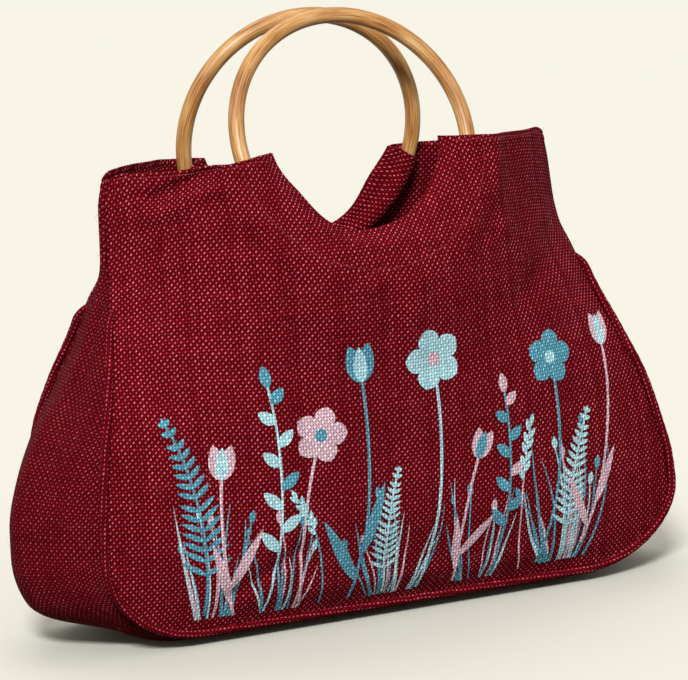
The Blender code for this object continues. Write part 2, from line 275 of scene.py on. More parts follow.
def add(tree, kind, inputs=None, **settings):
    """Adds a shader node and fills its inputs. A node given as one links its first output."""
    node = tree.nodes.new("ShaderNode" + kind)
    for name, value in settings.items():
        setattr(node, name, value)
    for name, value in (inputs or {}).items():
        if isinstance(value, bpy.types.Node):
            value = value.outputs[0]
        if isinstance(value, bpy.types.NodeSocket):
            tree.links.new(value, node.inputs[name])
        else:
            node.inputs[name].default_value = value
    return node


def ramp(node, stops):
    """Sets a colour ramp's stops from (place, hex colour) pairs."""
    elements = node.color_ramp.elements
    while len(elements) < len(stops):
        elements.new(1.0)
    for element, (place, colour) in zip(elements, stops):
        element.position = place
        element.color = linear(colour)
    return node.outputs["Color"]


def new_material(name):
    """A material, its tree of nodes and its shader."""
    made = bpy.data.materials.new(name)
    made.use_nodes = True
    return made, made.node_tree, made.node_tree.nodes["Principled BSDF"]


def set_constants(shader, **values):
    """Sets inputs that are the same all over, by name, with _ in place of each space."""
    for name, value in values.items():
        shader.inputs[name.replace("_", " ")].default_value = value


print("wine red in linear light:", np.round(linear("#7A1020"), 3))

# %% [markdown]
# ## Jute cloth
#
# Jute is a coarse bast fibre, spun thick and uneven and woven plain: each thread goes over
# one and under the next, with small holes between. Here it is dyed wine red. The holes are
# painted dark as shade and the crowns of the threads paler as painted highlight.
#
# The weave needs a height at every point, for its bump and for its colours. An image could
# give that, but nodes give it at any size. The cloth's own flat measure, in metres, is kept
# in a UV layer, so the threads keep their true spacing however the panel swells.

# %% The weave as a node group
THREAD_ACROSS_MM, THREAD_UP_MM = 2.00, 2.22
THREAD_WANDER = 0.30
WANDER_MM = 11.0
SLUB_MM = 19.0

# Single jute fibres are under 0.1 mm thick, too fine to show, so they are drawn coarser.
FIBRE_MM = 0.7
SOFT_DETAIL, FIBRE_DETAIL = 3.0, 2.0
THREAD_FULLNESS = 0.84
THREAD_FLATNESS = 1.6
WARP_CRIMP, WARP_ROUND, WARP_SLANT = 0.36, 0.64, 0.46
WEFT_CRIMP, WEFT_ROUND, WEFT_SLANT = -0.05, 0.40, 0.30
WARP_KEY, WEFT_KEY = 7.0, 31.0
SLUB_SHARE, CROSSING_SHARE = 0.5, 0.3
THIN_THREAD, THICK_THREAD = 0.74, 0.94
FIBRE_RELIEF = 0.18


def weave_group():
    """Plain weave from a flat measure in millimetres: its height and each thread's tone."""
    tree = bpy.data.node_groups.new("Plain weave", "ShaderNodeTree")
    tree.interface.new_socket("Flat mm", in_out="INPUT", socket_type="NodeSocketVector")
    for name in ("Height", "Tone"):
        tree.interface.new_socket(name, in_out="OUTPUT", socket_type="NodeSocketFloat")
    flat = tree.nodes.new("NodeGroupInput").outputs["Flat mm"]

    # Threads wander sideways by a share of their spacing.
    drift = add(tree, "TexNoise", {"Vector": flat, "Scale": 1.0 / WANDER_MM, "Detail": SOFT_DETAIL},
                noise_dimensions="2D")
    centred = add(tree, "VectorMath", {0: drift.outputs["Color"], 1: (0.5, 0.5, 0.5)},
                  operation="SUBTRACT")
    per_mm = (1.0 / THREAD_ACROSS_MM, 1.0 / THREAD_UP_MM, 0.0)
    counted = add(tree, "VectorMath", {0: flat, 1: per_mm}, operation="MULTIPLY")
    moved = add(tree, "VectorMath", {0: centred, 1: (2.0 * THREAD_WANDER,) * 3, 2: counted},
                operation="MULTIPLY_ADD")

    # Each crossing is a cell, with a place in it from -1 to 1 both ways.
    cell = add(tree, "VectorMath", {0: moved}, operation="FLOOR")
    which = add(tree, "SeparateXYZ", {0: cell})
    inside = add(tree, "VectorMath", {0: moved}, operation="FRACTION")
    signed = add(tree, "VectorMath", {0: inside, 1: (2.0, 2.0, 0.0), 2: (-1.0, -1.0, 0.0)},
                 operation="MULTIPLY_ADD")
    place = add(tree, "SeparateXYZ", {0: signed})

    # Which of the two threads is on top turns with each step sideways or up.
    summed = add(tree, "Math", {0: which.outputs[0], 1: which.outputs[1]}, operation="ADD")
    parity = add(tree, "Math", {0: summed, 1: 2.0}, operation="FLOORED_MODULO")
    sign = add(tree, "Math", {0: parity, 1: -2.0, 2: 1.0}, operation="MULTIPLY_ADD")

    # A thread is round across itself and rides up and down in a wave along itself. The warp is
    # slack and rides high, and the weft is tight and lies low, so every second crossing lies low,
    # and the colour ramp paints it dark as shade.
    # The twist of the yarn slants the crown of each crossing.
    tops = []
    for side, along, crimp, roundness, slant in (
        (0, 1, WARP_CRIMP, WARP_ROUND, WARP_SLANT),
        (1, 0, WEFT_CRIMP, WEFT_ROUND, WEFT_SLANT),
    ):
        angle = add(tree, "Math", {0: place.outputs[along], 1: math.pi / 2}, operation="MULTIPLY")
        wave = add(tree, "Math", {0: angle}, operation="COSINE")
        ride = add(tree, "Math", {0: wave, 1: sign}, operation="MULTIPLY")
        crown = add(tree, "Math", {0: place.outputs[along], 1: -slant, 2: place.outputs[side]},
                    operation="MULTIPLY_ADD")
        square = add(tree, "Math", {0: crown, 1: crown}, operation="MULTIPLY")
        steep = add(tree, "Math", {0: square, 1: THREAD_FLATNESS}, operation="POWER")
        edge = THREAD_FULLNESS ** (2.0 * THREAD_FLATNESS)
        dome = add(tree, "Math", {0: steep, 1: -roundness / edge, 2: roundness},
                   operation="MULTIPLY_ADD")
        tops.append(add(tree, "Math", {0: ride, 1: crimp, 2: dome}, operation="MULTIPLY_ADD"))
    top = add(tree, "Math", {0: tops[0], 1: tops[1]}, operation="MAXIMUM")
    upright = add(tree, "Math", {0: tops[0], 1: tops[1]}, operation="GREATER_THAN")

    # Each thread has its own tone, and slubs make it swell along its length.
    column = add(tree, "CombineXYZ", {0: which.outputs[0], 1: 0.0, 2: WARP_KEY})
    line = add(tree, "CombineXYZ", {0: 0.0, 1: which.outputs[1], 2: WEFT_KEY})
    thread = add(tree, "Mix", {0: upright, 4: line, 5: column}, data_type="VECTOR")
    own = add(tree, "TexWhiteNoise", {"Vector": thread.outputs[1]}, noise_dimensions="3D")
    slub = add(tree, "TexNoise", {"Vector": flat, "Scale": 1.0 / SLUB_MM, "Detail": SOFT_DETAIL},
               noise_dimensions="2D")
    crossing = add(tree, "TexWhiteNoise", {"Vector": cell}, noise_dimensions="3D")
    tone = add(tree, "Mix", {0: SLUB_SHARE, 2: own, 3: slub}, data_type="FLOAT")
    tone = add(tree, "Mix", {0: CROSSING_SHARE, 2: tone, 3: crossing}, data_type="FLOAT")
    swelling = add(tree, "Math", {0: tone, 1: THICK_THREAD - THIN_THREAD, 2: THIN_THREAD},
                   operation="MULTIPLY_ADD")
    height = add(tree, "Math", {0: top, 1: swelling}, operation="MULTIPLY")

    # Single fibres roughen the thread, up and down by the same amount.
    fibre = add(tree, "TexNoise", {"Vector": flat, "Scale": 1.0 / FIBRE_MM, "Detail": FIBRE_DETAIL},
                noise_dimensions="2D")
    rough = add(tree, "Math", {0: fibre, 1: FIBRE_RELIEF, 2: height}, operation="MULTIPLY_ADD")
    rough = add(tree, "Math", {0: rough, 1: FIBRE_RELIEF / 2}, operation="SUBTRACT")

    made = tree.nodes.new("NodeGroupOutput")
    tree.links.new(rough.outputs[0], made.inputs["Height"])
    tree.links.new(tone.outputs[0], made.inputs["Tone"])
    return tree


WEAVE = weave_group()
print("weave:", len(WEAVE.nodes), "nodes, threads every", THREAD_ACROSS_MM, "and", THREAD_UP_MM, "mm")

# %% [markdown]
# ## The cloth's finish
#
# The colour follows the weave's height: the crowns of the threads are painted paler as
# highlight, and the holes almost black as shade. It is matt, because its surface is all fibre
# ends. One function makes each cloth from its own four colours, so that the panels, the
# gusset, the piping and later the printed places stay one family.

# %% Cloth materials
FLAT = "Flat measure"
BUMP_MM = 0.75
FIBRE_IOR = 1.53
JUTE_ROUGHNESS = 0.86
JUTE_SPECULAR = 0.05
# The ramp's stops on the weave's height: the lowest colour is painted shade in the holes, and the two
# highest are painted highlight on the crowns and tips.
HEIGHT_SHADE_AND_HIGHLIGHT_STOPS = (0.22, 0.40, 0.62, 0.75, 0.91)
TONE_LOW, TONE_HIGH = 0.25, 0.75
DARK_THREAD, PALE_THREAD = 0.82, 1.18
BIAS = 45.0


def flat_millimetres(tree, turn=0.0):
    """The cloth's flat measure from its UV layer, in millimetres, turned by some degrees."""
    flat = add(tree, "UVMap", uv_map=FLAT)
    return add(tree, "Mapping", {"Vector": flat, "Scale": (1000.0, 1000.0, 1.0),
                                 "Rotation": (0.0, 0.0, math.radians(turn))})


def jute(name, hole_shade, thread, crown, tip, turn=0.0, relief=BUMP_MM):
    """Woven jute in four colours: painted shade in the holes, the threads, and painted highlight on
    their crowns and tips.
    """
    made, tree, shader = new_material(name)
    weave = tree.nodes.new("ShaderNodeGroup")
    weave.node_tree = WEAVE
    tree.links.new(flat_millimetres(tree, turn).outputs[0], weave.inputs["Flat mm"])
    # The colour is read off the height, so the holes are painted dark as shade and the crowns pale as
    # highlight.
    colours = ramp(add(tree, "ValToRGB", {0: weave.outputs["Height"]}),
                   list(zip(HEIGHT_SHADE_AND_HIGHLIGHT_STOPS, (hole_shade, thread, thread, crown, tip))))
    shade = add(tree, "MapRange", {"Value": weave.outputs["Tone"],
                                   "From Min": TONE_LOW, "From Max": TONE_HIGH,
                                   "To Min": DARK_THREAD, "To Max": PALE_THREAD})
    toned = add(tree, "VectorMath", {0: colours, "Scale": shade}, operation="SCALE")
    tree.links.new(toned.outputs[0], shader.inputs["Base Color"])
    bump = add(tree, "Bump", {"Height": weave.outputs["Height"], "Distance": relief / 1000,
                              "Strength": 1.0})
    tree.links.new(bump.outputs[0], shader.inputs["Normal"])
    set_constants(shader, Roughness=JUTE_ROUGHNESS, IOR=FIBRE_IOR, Specular_IOR_Level=JUTE_SPECULAR)
    return made


JUTE = jute("Dyed jute cloth", "#180001", "#7D0312", "#A02B3B", "#D68B97")
# The gusset's jute is the same cloth painted darker, with dimmer crowns and tips, as painted shade for
# the side that turns from the key light.
JUTE_SIDE_PAINTED_SHADE = jute("Dyed jute side cloth", "#1E0002", "#700411", "#861C29", "#A8626E")
JUTE_BIAS = jute("Bias cut jute", "#1C0002", "#7A0413", "#982636", "#C67A86", turn=BIAS)
print("cloths:", ", ".join(cloth.name for cloth in (JUTE, JUTE_SIDE_PAINTED_SHADE, JUTE_BIAS)))

# %% [markdown]
# ## Varnished cane
#
# The rings are bent cane, peeled, sanded and clear varnished. The fibres run round the ring
# as fine dark and light lines, broken where a bundle ends, over slow changes from honey to
# tan. The varnish is a smooth coat with a narrow highlight, and its IOR is that of the usual
# clear lacquers.

# %% The cane's finish
CANE_IOR = 1.54
LACQUER_IOR = 1.50
CANE_ROUGHNESS = 0.50
LACQUER_WEIGHT, LACQUER_ROUGHNESS = 0.22, 0.30

# Cane's bundles of fibre are about 0.35 mm wide. They are drawn at twice that, so that they show.
GRAIN_RUN_MM, GRAIN_MM = 26.0, 0.75
GRAIN_DETAIL, GRAIN_ROUGHNESS = 4.0, 0.6
CLOUD_RUN_MM, CLOUD_MM = 38.0, 7.0
CLOUD_DETAIL, CLOUD_SHARE = 2.0, 0.34
GRAIN_DEPTH, GRAIN_STRENGTH = 0.00012, 0.6
CANE_COLOURS = [(0.34, "#84491C"), (0.45, "#B67A3A"), (0.55, "#CE9856"), (0.68, "#E4BC86")]


def varnished_cane():
    made, tree, shader = new_material("Varnished cane")
    flat = flat_millimetres(tree)
    run = add(tree, "Mapping", {"Vector": flat,
                                "Scale": (1.0 / GRAIN_RUN_MM, 1.0 / GRAIN_MM, 1.0)})
    grain = add(tree, "TexNoise", {"Vector": run, "Scale": 1.0, "Detail": GRAIN_DETAIL,
                                   "Roughness": GRAIN_ROUGHNESS}, noise_dimensions="2D")
    slow = add(tree, "Mapping", {"Vector": flat,
                                 "Scale": (1.0 / CLOUD_RUN_MM, 1.0 / CLOUD_MM, 1.0)})
    cloud = add(tree, "TexNoise", {"Vector": slow, "Scale": 1.0, "Detail": CLOUD_DETAIL},
                noise_dimensions="2D")
    both = add(tree, "Mix", {0: CLOUD_SHARE, 2: grain, 3: cloud}, data_type="FLOAT")
    colour = ramp(add(tree, "ValToRGB", {0: both}), CANE_COLOURS)
    tree.links.new(colour, shader.inputs["Base Color"])
    bump = add(tree, "Bump", {"Height": grain, "Distance": GRAIN_DEPTH,
                              "Strength": GRAIN_STRENGTH})
    tree.links.new(bump.outputs[0], shader.inputs["Normal"])
    set_constants(shader, Roughness=CANE_ROUGHNESS, IOR=CANE_IOR, Coat_Weight=LACQUER_WEIGHT,
                  Coat_Roughness=LACQUER_ROUGHNESS, Coat_IOR=LACQUER_IOR)
    return made


CANE_FINISH = varnished_cane()
print("handles:", CANE_FINISH.name)

# %% [markdown]
# ## From a grid of points to a cloth
#
# Every cloth here is a grid: rows of points that follow the piece, with the flat measure
# stored beside each point. A grid gives clean quads, which a simulated or sculpted mesh
# would not, and its flat measure is known exactly. Solidify then gives it the cloth's
# thickness, towards the inside of the bag.

# %% Grids into meshes


def grid_quads(rows, columns):
    """Quads of a grid whose points are stored row by row."""
    index = np.arange(rows * columns).reshape(rows, columns)
    quads = [index[:-1, :-1], index[:-1, 1:], index[1:, 1:], index[1:, :-1]]
    return np.stack(quads, axis=-1).reshape(-1, 4)


def mesh_object(name, points, faces, flat):
    """A smooth mesh whose flat measure, a pair for each face corner, is kept as a UV layer."""
    mesh = bpy.data.meshes.new(name)
    mesh.from_pydata((points + MOVE).tolist(), [], faces)
    layer = mesh.uv_layers.new(name=FLAT)
    layer.data.foreach_set("uv", np.ascontiguousarray(flat, np.float32).ravel())
    mesh.shade_smooth()
    thing = bpy.data.objects.new(name, mesh)
    bpy.context.scene.collection.objects.link(thing)
    return thing


def grid_mesh(name, points, flat, flip=False):
    """A mesh from a grid of points (rows, columns, 3) and its flat measure."""
    quads = grid_quads(*points.shape[:2])
    if flip:
        quads = quads[:, ::-1]
    return mesh_object(name, points.reshape(-1, 3), quads.tolist(), flat.reshape(-1, 2)[quads])


def way_out(points):
    """The direction square to a grid at each of its points, from its rows and columns."""
    return np.cross(np.gradient(points, axis=1), np.gradient(points, axis=0))


def normals_of(points):
    normal = way_out(points)
    return normal / np.linalg.norm(normal, axis=-1, keepdims=True)


def cloth_wall(thing, thickness):
    """Gives the sheet its thickness, behind the side that shows."""
    wall = thing.modifiers.new("Cloth wall", "SOLIDIFY")
    wall.thickness = thickness
    wall.offset = -1.0


def dress(thing, finish, solid=None):
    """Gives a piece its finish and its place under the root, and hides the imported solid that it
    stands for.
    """
    thing.data.materials.append(finish)
    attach(thing, "root")
    if solid:
        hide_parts(solid)
    print(thing.name, "has", len(thing.data.polygons), "faces of", finish.name)


print("a 3 x 4 grid has", len(grid_quads(3, 4)), "quads")

# %% [markdown]
# ## The panels
#
# A panel bulges from its seams to its middle, holds a few soft folds where it has been
# handled, and near the notch it is pulled onto the cane, which shows as a raised ridge. Its
# outline is the seam, the rim and the notch, and rows of points are spread between them.
# The rows crowd together at the top, because the hem there is only a few millimetres wide.

# %% How far a panel stands out
SEAM_GAP = 0.0004
PANEL_RING_GAP = 0.0013
PANEL_ROUNDNESS = 2.5
RIDGE_SHARE = 0.5

# Up to a little outside the cane the cloth lies on the ring's plane. From there the hold fades,
# and past HOLD_EASE the cloth stands proud by HOLD_PROUD at most.
HOLD_START = 0.005
HOLD_FADE = 0.085
HOLD_PROUD = 0.008
HOLD_EASE = 0.020

# Folds die out at the seams and where the ring holds the cloth.
FOLD_RISE = 0.006
FOLD_REACH = 8
FOLD_CLEAR = 0.012

# A fold runs from x0, z0 to x1, z1, in shares of half the width and of the rim's height. Its
# width is a share of the belly, and a rise below 0 is a furrow.
Fold = namedtuple("Fold", "panel x0 z0 x1 z1 width rise")
FOLDS = [
    Fold("front", -0.49, 1.000, -0.66, 0.945, 0.17, -1.15),
    Fold("front", -0.50, 0.965, -0.68, 0.905, 0.20, 0.55),
    Fold("front", -0.95, 0.770, -0.78, 0.700, 0.36, -0.62),
    Fold("front", -0.90, 0.700, -0.66, 0.630, 0.46, 0.42),
    Fold("front", 0.00, 0.770, -0.01, 0.620, 0.28, -0.36),
    Fold("front", 0.09, 0.760, 0.07, 0.580, 0.34, 0.30),
    Fold("front", 0.36, 0.950, 0.37, 0.800, 0.26, -0.36),
    Fold("front", 0.47, 0.980, 0.46, 0.800, 0.26, 0.34),
    Fold("front", 0.57, 0.970, 0.56, 0.820, 0.40, -0.24),
    Fold("front", 0.72, 0.730, 0.52, 0.660, 0.40, -0.62),
    Fold("front", 0.76, 0.820, 0.62, 0.790, 0.34, 0.36),
    Fold("front", -0.36, 0.180, -0.58, 0.100, 0.22, -0.45),
    Fold("front", -0.30, 0.150, 0.46, 0.130, 0.60, -0.34),
    Fold("front", -0.76, 0.420, -0.80, 0.220, 0.44, 0.34),
    Fold("back", 0.46, 0.97, 0.62, 0.90, 0.42, -0.70),
    Fold("back", -0.46, 0.97, -0.60, 0.88, 0.42, -0.60),
    Fold("back", 0.84, 0.74, 0.62, 0.67, 0.46, -0.50),
    Fold("back", -0.80, 0.74, -0.58, 0.66, 0.46, -0.50),
    Fold("back", 0.04, 0.76, 0.02, 0.60, 0.42, -0.40),
    Fold("back", -0.40, 0.16, 0.36, 0.13, 0.60, -0.34),
]


def fold_depth(face, x, z):
    total = np.zeros(np.broadcast(x, z).shape)
    for fold in FOLDS:
        if fold.panel != face.name:
            continue
        start = np.array([fold.x0 * BODY_WIDTH / 2, fold.z0 * RIM_HEIGHT])
        along = np.array([fold.x1 * BODY_WIDTH / 2, fold.z1 * RIM_HEIGHT]) - start
        width = fold.width * BELLY
        share = ((x - start[0]) * along[0] + (z - start[1]) * along[1]) / (along @ along)
        share = np.clip(share, 0.0, 1.0)
        distance = np.hypot(x - start[0] - along[0] * share, z - start[1] - along[1] * share)
        total = total + fold.rise * FOLD_RISE * np.exp(-((distance / width) ** 2))
    return total


def panel_depth(face, x, z):
    """How far the panel's outer face stands from the bag's middle plane."""
    seam = seam_depth(z)
    share = np.minimum(np.abs(x) / half_width(z, x), 1.0)
    soft = seam + (middle_depth(z) - seam) * (1.0 - share**PANEL_ROUNDNESS)
    centre, across, up, _ = ring_frame(face)
    v = (z - centre[2]) / up[2]
    u = (x - centre[0] - v * up[0]) / across[0]
    plane = face.side * (centre[1] + u * across[1] + v * up[1])
    radius = np.hypot(u, v)
    notch = notch_radius(face, np.arctan2(u, -v))
    ridge = smooth_step((radius - notch) / ((RING_RADIUS - notch) * RIDGE_SHARE))
    flat = CLOTH + SEAM_GAP / 2
    over = CANE / 2 + PANEL_RING_GAP + CLOTH
    held = plane + mix(flat, over, ridge) / math.cos(math.radians(face.lean))
    edge_of_hold = RING_RADIUS + CANE / 2 + HOLD_START
    hold = 1.0 - smooth_step((radius - edge_of_hold) / HOLD_FADE)
    proud = held - soft
    eased = np.where(proud > 0.0, HOLD_PROUD * np.tanh(proud / HOLD_PROUD), proud)
    proud = mix(proud, eased, smooth_step((radius - edge_of_hold) / HOLD_EASE))
    free = smooth_step((radius - edge_of_hold) / FOLD_CLEAR) * (1.0 - share**FOLD_REACH)
    return soft + proud * hold + fold_depth(face, x, z) * free


for face in FACES:
    stands_out = float(panel_depth(face, 0.0, 0.1)) * 1000
    print(face.name, "stands out", round(stands_out, 1), "mm at 100 mm up")

# %% The flat measure of a panel
LATTICE = 0.001
LATTICE_HALF = 0.260
LATTICE_TOP = 0.330

# A place on the last line of the lattice is read from the cell before it.
LAST_CELL = 1.001


def flat_tables(face):
    """Distances along the cloth at every millimetre of the panel's plane."""
    xs = np.arange(-LATTICE_HALF, LATTICE_HALF + LATTICE / 2, LATTICE)
    zs = np.arange(0.0, LATTICE_TOP + LATTICE / 2, LATTICE)
    depth = panel_depth(face, xs[None, :], zs[:, None])
    across = np.hypot(np.gradient(depth, LATTICE, axis=1), 1.0)
    upward = np.hypot(np.gradient(depth, LATTICE, axis=0), 1.0)
    u = np.cumsum(across, axis=1) * LATTICE
    return u - u[:, [len(xs) // 2]], np.cumsum(upward, axis=0) * LATTICE


FLAT_TABLES = {face.name: flat_tables(face) for face in FACES}


def flat_measure(face, x, z):
    """Distances along the cloth from the panel's middle line and from its base."""
    tables = FLAT_TABLES[face.name]
    rows, columns = tables[0].shape
    column = np.clip((x + LATTICE_HALF) / LATTICE, 0.0, columns - LAST_CELL)
    row = np.clip(z / LATTICE, 0.0, rows - LAST_CELL)
    i, j = column.astype(int), row.astype(int)
    s, t = column - i, row - j
    found = []
    for table in tables:
        low = mix(table[j, i], table[j, i + 1], s)
        high = mix(table[j + 1, i], table[j + 1, i + 1], s)
        found.append(mix(low, high, t))
    return np.stack(found, axis=-1)


middle_to_seam = flat_measure(FACES[0], half_width(0.1, 1), 0.1)[0]
print("front cloth, middle to seam:", round(float(middle_to_seam), 3), "m")

# %% The panel's outline and grid
EAR_LEVEL = {"left": 0.20, "right": 0.0}
EAR_ROUND = 0.0035
EAR_ROUND_SHARE = 0.09
CORNER_POINTS, BASE_POINTS = 20, 150
EAR_POINTS, NOTCH_POINTS = 42, 106
SIDE_POINTS = 104
HEM_ROWS_MM = [0.0, 0.25, 0.6, 1.0, 1.5, 2.0, 2.5, 3.0, 3.6, 4.4, 5.4, 6.6, 8.0]


def corner_line(edge, start, end, count):
    """Points on a bottom corner, at even turns of its quarter ellipse."""
    turns = np.linspace(start, end, count + 1) * math.pi / 2
    z = SEAM_LIFT + CORNER_HEIGHT * (1.0 - np.sin(turns))
    return np.stack([edge * half_width(z, edge), z], axis=-1)


def side_line(face, edge):
    """A side seam from the middle of its rounded corner up to the rim, crowded at the top."""
    top = (face.left if edge < 0 else face.right) * RIM_HEIGHT - EAR_ROUND
    hem = top - np.array(HEM_ROWS_MM[::-1]) / 1000
    z = np.linspace(SEAM_LIFT + CORNER_HEIGHT, hem[0], SIDE_POINTS)
    z = np.concatenate([z[:-1], hem])
    side = np.stack([edge * half_width(z, edge), z], axis=-1)
    return np.vstack([corner_line(edge, 0.5, 0.0, CORNER_POINTS)[:-1], side])


def bottom_line():
    left = corner_line(-1, 0.5, 1.0, CORNER_POINTS)
    right = corner_line(1, 1.0, 0.5, CORNER_POINTS)
    share = np.linspace(0.0, 1.0, BASE_POINTS + 1)[1:-1, None]
    return np.vstack([left, mix(left[-1], right[0], share), right])


def notch_turns(face, count, share=1.0):
    """Even turns along the notch's edge, from its left end to its right."""
    low = -notch_reach(face, face.notch_left * RIM_HEIGHT)
    high = notch_reach(face, face.notch_right * RIM_HEIGHT)
    return np.linspace(low * share, high * share, count)


def ear_line(end, corner, level):
    """Points along the top of an ear, from the seam to the notch."""
    share = np.arange(EAR_POINTS) / EAR_POINTS
    rise = smooth_step((share - level) / (1.0 - level))
    rounded = EAR_ROUND * np.clip(1.0 - share / EAR_ROUND_SHARE, 0.0, 1.0) ** 2
    made = mix(end, corner, share[:, None])
    made[:, 1] = mix(end[1] + EAR_ROUND, corner[1], rise) - rounded
    return made


def top_line(face, left, right):
    turns = notch_turns(face, NOTCH_POINTS + 1)
    notch = on_ring_plane(face, notch_radius(face, turns), turns)[:, [0, 2]]
    left_ear = ear_line(left, notch[0], EAR_LEVEL["left"])
    right_ear = ear_line(right, notch[-1], EAR_LEVEL["right"])
    return np.vstack([left_ear, notch, right_ear[::-1]])


def panel_plan(face):
    """The panel's grid in the XZ plane, rows from the base up."""
    left, right = side_line(face, -1), side_line(face, 1)
    bottom = bottom_line()
    top = top_line(face, left[-1], right[-1])
    v = ((left[:, 1] - left[0, 1]) / (left[-1, 1] - left[0, 1]))[:, None, None]
    u = np.linspace(0.0, 1.0, len(bottom))[None, :, None]
    corners = mix(mix(bottom[0], bottom[-1], u), mix(top[0], top[-1], u), v)
    return mix(bottom[None], top[None], v) + mix(left[:, None], right[:, None], u) - corners


print("front panel's grid:", panel_plan(FACES[0]).shape[:2], "points")

# %% [markdown]
# ### The hem
#
# The rim and the notch are turned in and stitched. The turn is thicker than the cloth, so
# the last millimetres round over, a stitch line pulls a fine groove, and the hem's end shows
# as a slight step. These are real shifts of the surface along its normal, by the distance
# from the edge.

# %% Hem relief
EDGE_ROUND = 0.0011
STITCH_LINE = 0.0029
STITCH_GROOVE, GROOVE_WIDTH = 0.00040, 0.0006
HEM_END = 0.0068
HEM_STEP, STEP_WIDTH = 0.00045, 0.0012


def hem_relief(distance):
    """How far the cloth's face moves out at a distance from its turned edge."""
    inside = np.clip(1.0 - distance / EDGE_ROUND, 0.0, 1.0)
    turned = -EDGE_ROUND * (1.0 - np.sqrt(1.0 - inside * inside))
    groove = -STITCH_GROOVE * np.exp(-(((distance - STITCH_LINE) / GROOVE_WIDTH) ** 2))
    step = HEM_STEP * (1.0 - smooth_step((distance - HEM_END) / STEP_WIDTH))
    return turned + groove + step


print("edge turns in", round(float(-hem_relief(0.0)) * 1000, 2), "mm")

# %% The two panels
# The stitches follow the row of the grid that lies nearest to the groove.
FROM_GROOVE = [abs(row / 1000 - STITCH_LINE) for row in HEM_ROWS_MM]
HEM_ROW = -1 - FROM_GROOVE.index(min(FROM_GROOVE))
STITCH_MARGIN = 2
panels = {}
seams, shells = [], []
for face in FACES:
    plan = panel_plan(face)
    x, z = plan[..., 0], plan[..., 1]
    points = np.stack([x, face.side * panel_depth(face, x, z), z], axis=-1)
    steps = np.linalg.norm(np.diff(points[::-1], axis=0), axis=-1)
    from_edge = np.vstack([np.zeros((1, points.shape[1])), np.cumsum(steps, axis=0)])[::-1]
    normal = normals_of(points)
    normal *= np.sign(normal[..., 1:2].mean()) * face.side
    points = points + normal * hem_relief(from_edge)[..., None]
    made = grid_mesh(face.name + "_panel_cloth", points, flat_measure(face, x, z), face.side > 0)
    cloth_wall(made, CLOTH)
    dress(made, JUTE, face.name + "_panel")
    panels[face.name] = made

    # The faces and the hem's rows are kept for the stitches and the loose fibres.
    shells.append((points, normal))
    left_ear = slice(STITCH_MARGIN, EAR_POINTS - STITCH_MARGIN)
    right_ear = slice(STITCH_MARGIN - EAR_POINTS, -STITCH_MARGIN)
    for ear_part in (left_ear, right_ear):
        seams.append((points[HEM_ROW, ear_part], normal[HEM_ROW, ear_part]))

# %% [markdown]
# ## The gusset
#
# One strip of the same cloth runs down one side, under the bag and up the other side. It
# swells out at the sides, where the bag is full, lies flat under the base, and folds in at
# the neck. Its points follow the seam, and each row crosses from the front seam to the back.

# %% The seam from rim to rim
STRIP_SIDE_POINTS, STRIP_CORNER_POINTS, STRIP_BASE_POINTS = 110, 36, 120
STRIP_ACROSS = 44


def seam_line(face):
    """The seam in the XZ plane, from the rim's left end round the base to its right end."""
    ends = []
    for edge, rim in ((-1, face.left), (1, face.right)):
        top = rim * RIM_HEIGHT - EAR_ROUND
        z = np.linspace(top, SEAM_LIFT + CORNER_HEIGHT, STRIP_SIDE_POINTS)[:-1]
        side = np.stack([edge * half_width(z, edge), z], axis=-1)
        ends.append(np.vstack([side, corner_line(edge, 0.0, 1.0, STRIP_CORNER_POINTS)]))
    left, right = ends[0], ends[1][::-1]
    share = np.linspace(0.0, 1.0, STRIP_BASE_POINTS + 1)[1:-1, None]
    return np.vstack([left, mix(left[-1], right[0], share), right])


def seam_normals(points):
    """The direction out of the seam's outline at each of its points."""
    along = np.gradient(points, axis=0)
    out = np.stack([along[:, 1], -along[:, 0]], axis=-1)
    return out / np.linalg.norm(out, axis=-1, keepdims=True)


def lengths(points):
    """The distance along a line of points to each of them."""
    steps = np.linalg.norm(np.diff(points, axis=0), axis=-1)
    return np.concatenate([[0.0], np.cumsum(steps)])


print("seam length:", round(float(lengths(seam_line(FACES[0]))[-1]), 3), "m")

# %% Soft upright folds in the gusset's sides
CREASE_FADE = 0.12

# Edge is -1 on the left. Share is the place across the strip, low and high are shares of the
# rim's height, and rise is in metres.
Crease = namedtuple("Crease", "edge share low high width rise")
CREASES = [
    Crease(-1, 0.30, 0.10, 0.72, 0.070, -0.0022),
    Crease(-1, 0.46, 0.16, 0.80, 0.060, 0.0016),
    Crease(-1, 0.66, 0.08, 0.60, 0.080, -0.0018),
    Crease(1, 0.34, 0.12, 0.70, 0.070, -0.0016),
    Crease(1, 0.62, 0.14, 0.76, 0.070, -0.0018),
]


def crease_depth(edge, share, height):
    total = np.zeros(np.broadcast(share, height).shape)
    for crease in CREASES:
        ends = smooth_step((height - crease.low) / CREASE_FADE)
        ends = ends * smooth_step((crease.high - height) / CREASE_FADE)
        across = np.exp(-(((share - crease.share) / crease.width) ** 2))
        total = total + crease.rise * across * ends * (edge * crease.edge > 0.0)
    return total


print(len(CREASES), "creases")

# %% The gusset's cloth
GUSSET_SWELL = 0.038
SEWN_SHARE = 0.04
BASE_FROM = 0.375
BASE_FULLNESS = 1.35

# How far the strip swells at each height, on its left and its right.
Swell = namedtuple("Swell", "height left right")
SWELLS = [
    Swell(0.03, 0.50, 0.40),
    Swell(0.10, 0.88, 0.60),
    Swell(0.20, 1.08, 0.72),
    Swell(0.26, 1.07, 0.70),
    Swell(0.33, 0.98, 0.64),
    Swell(0.44, 0.68, 0.50),
    Swell(0.54, 0.36, 0.32),
    Swell(0.65, 0.14, 0.12),
    Swell(0.73, 0.06, 0.06),
    Swell(1.00, 0.06, 0.06),
]


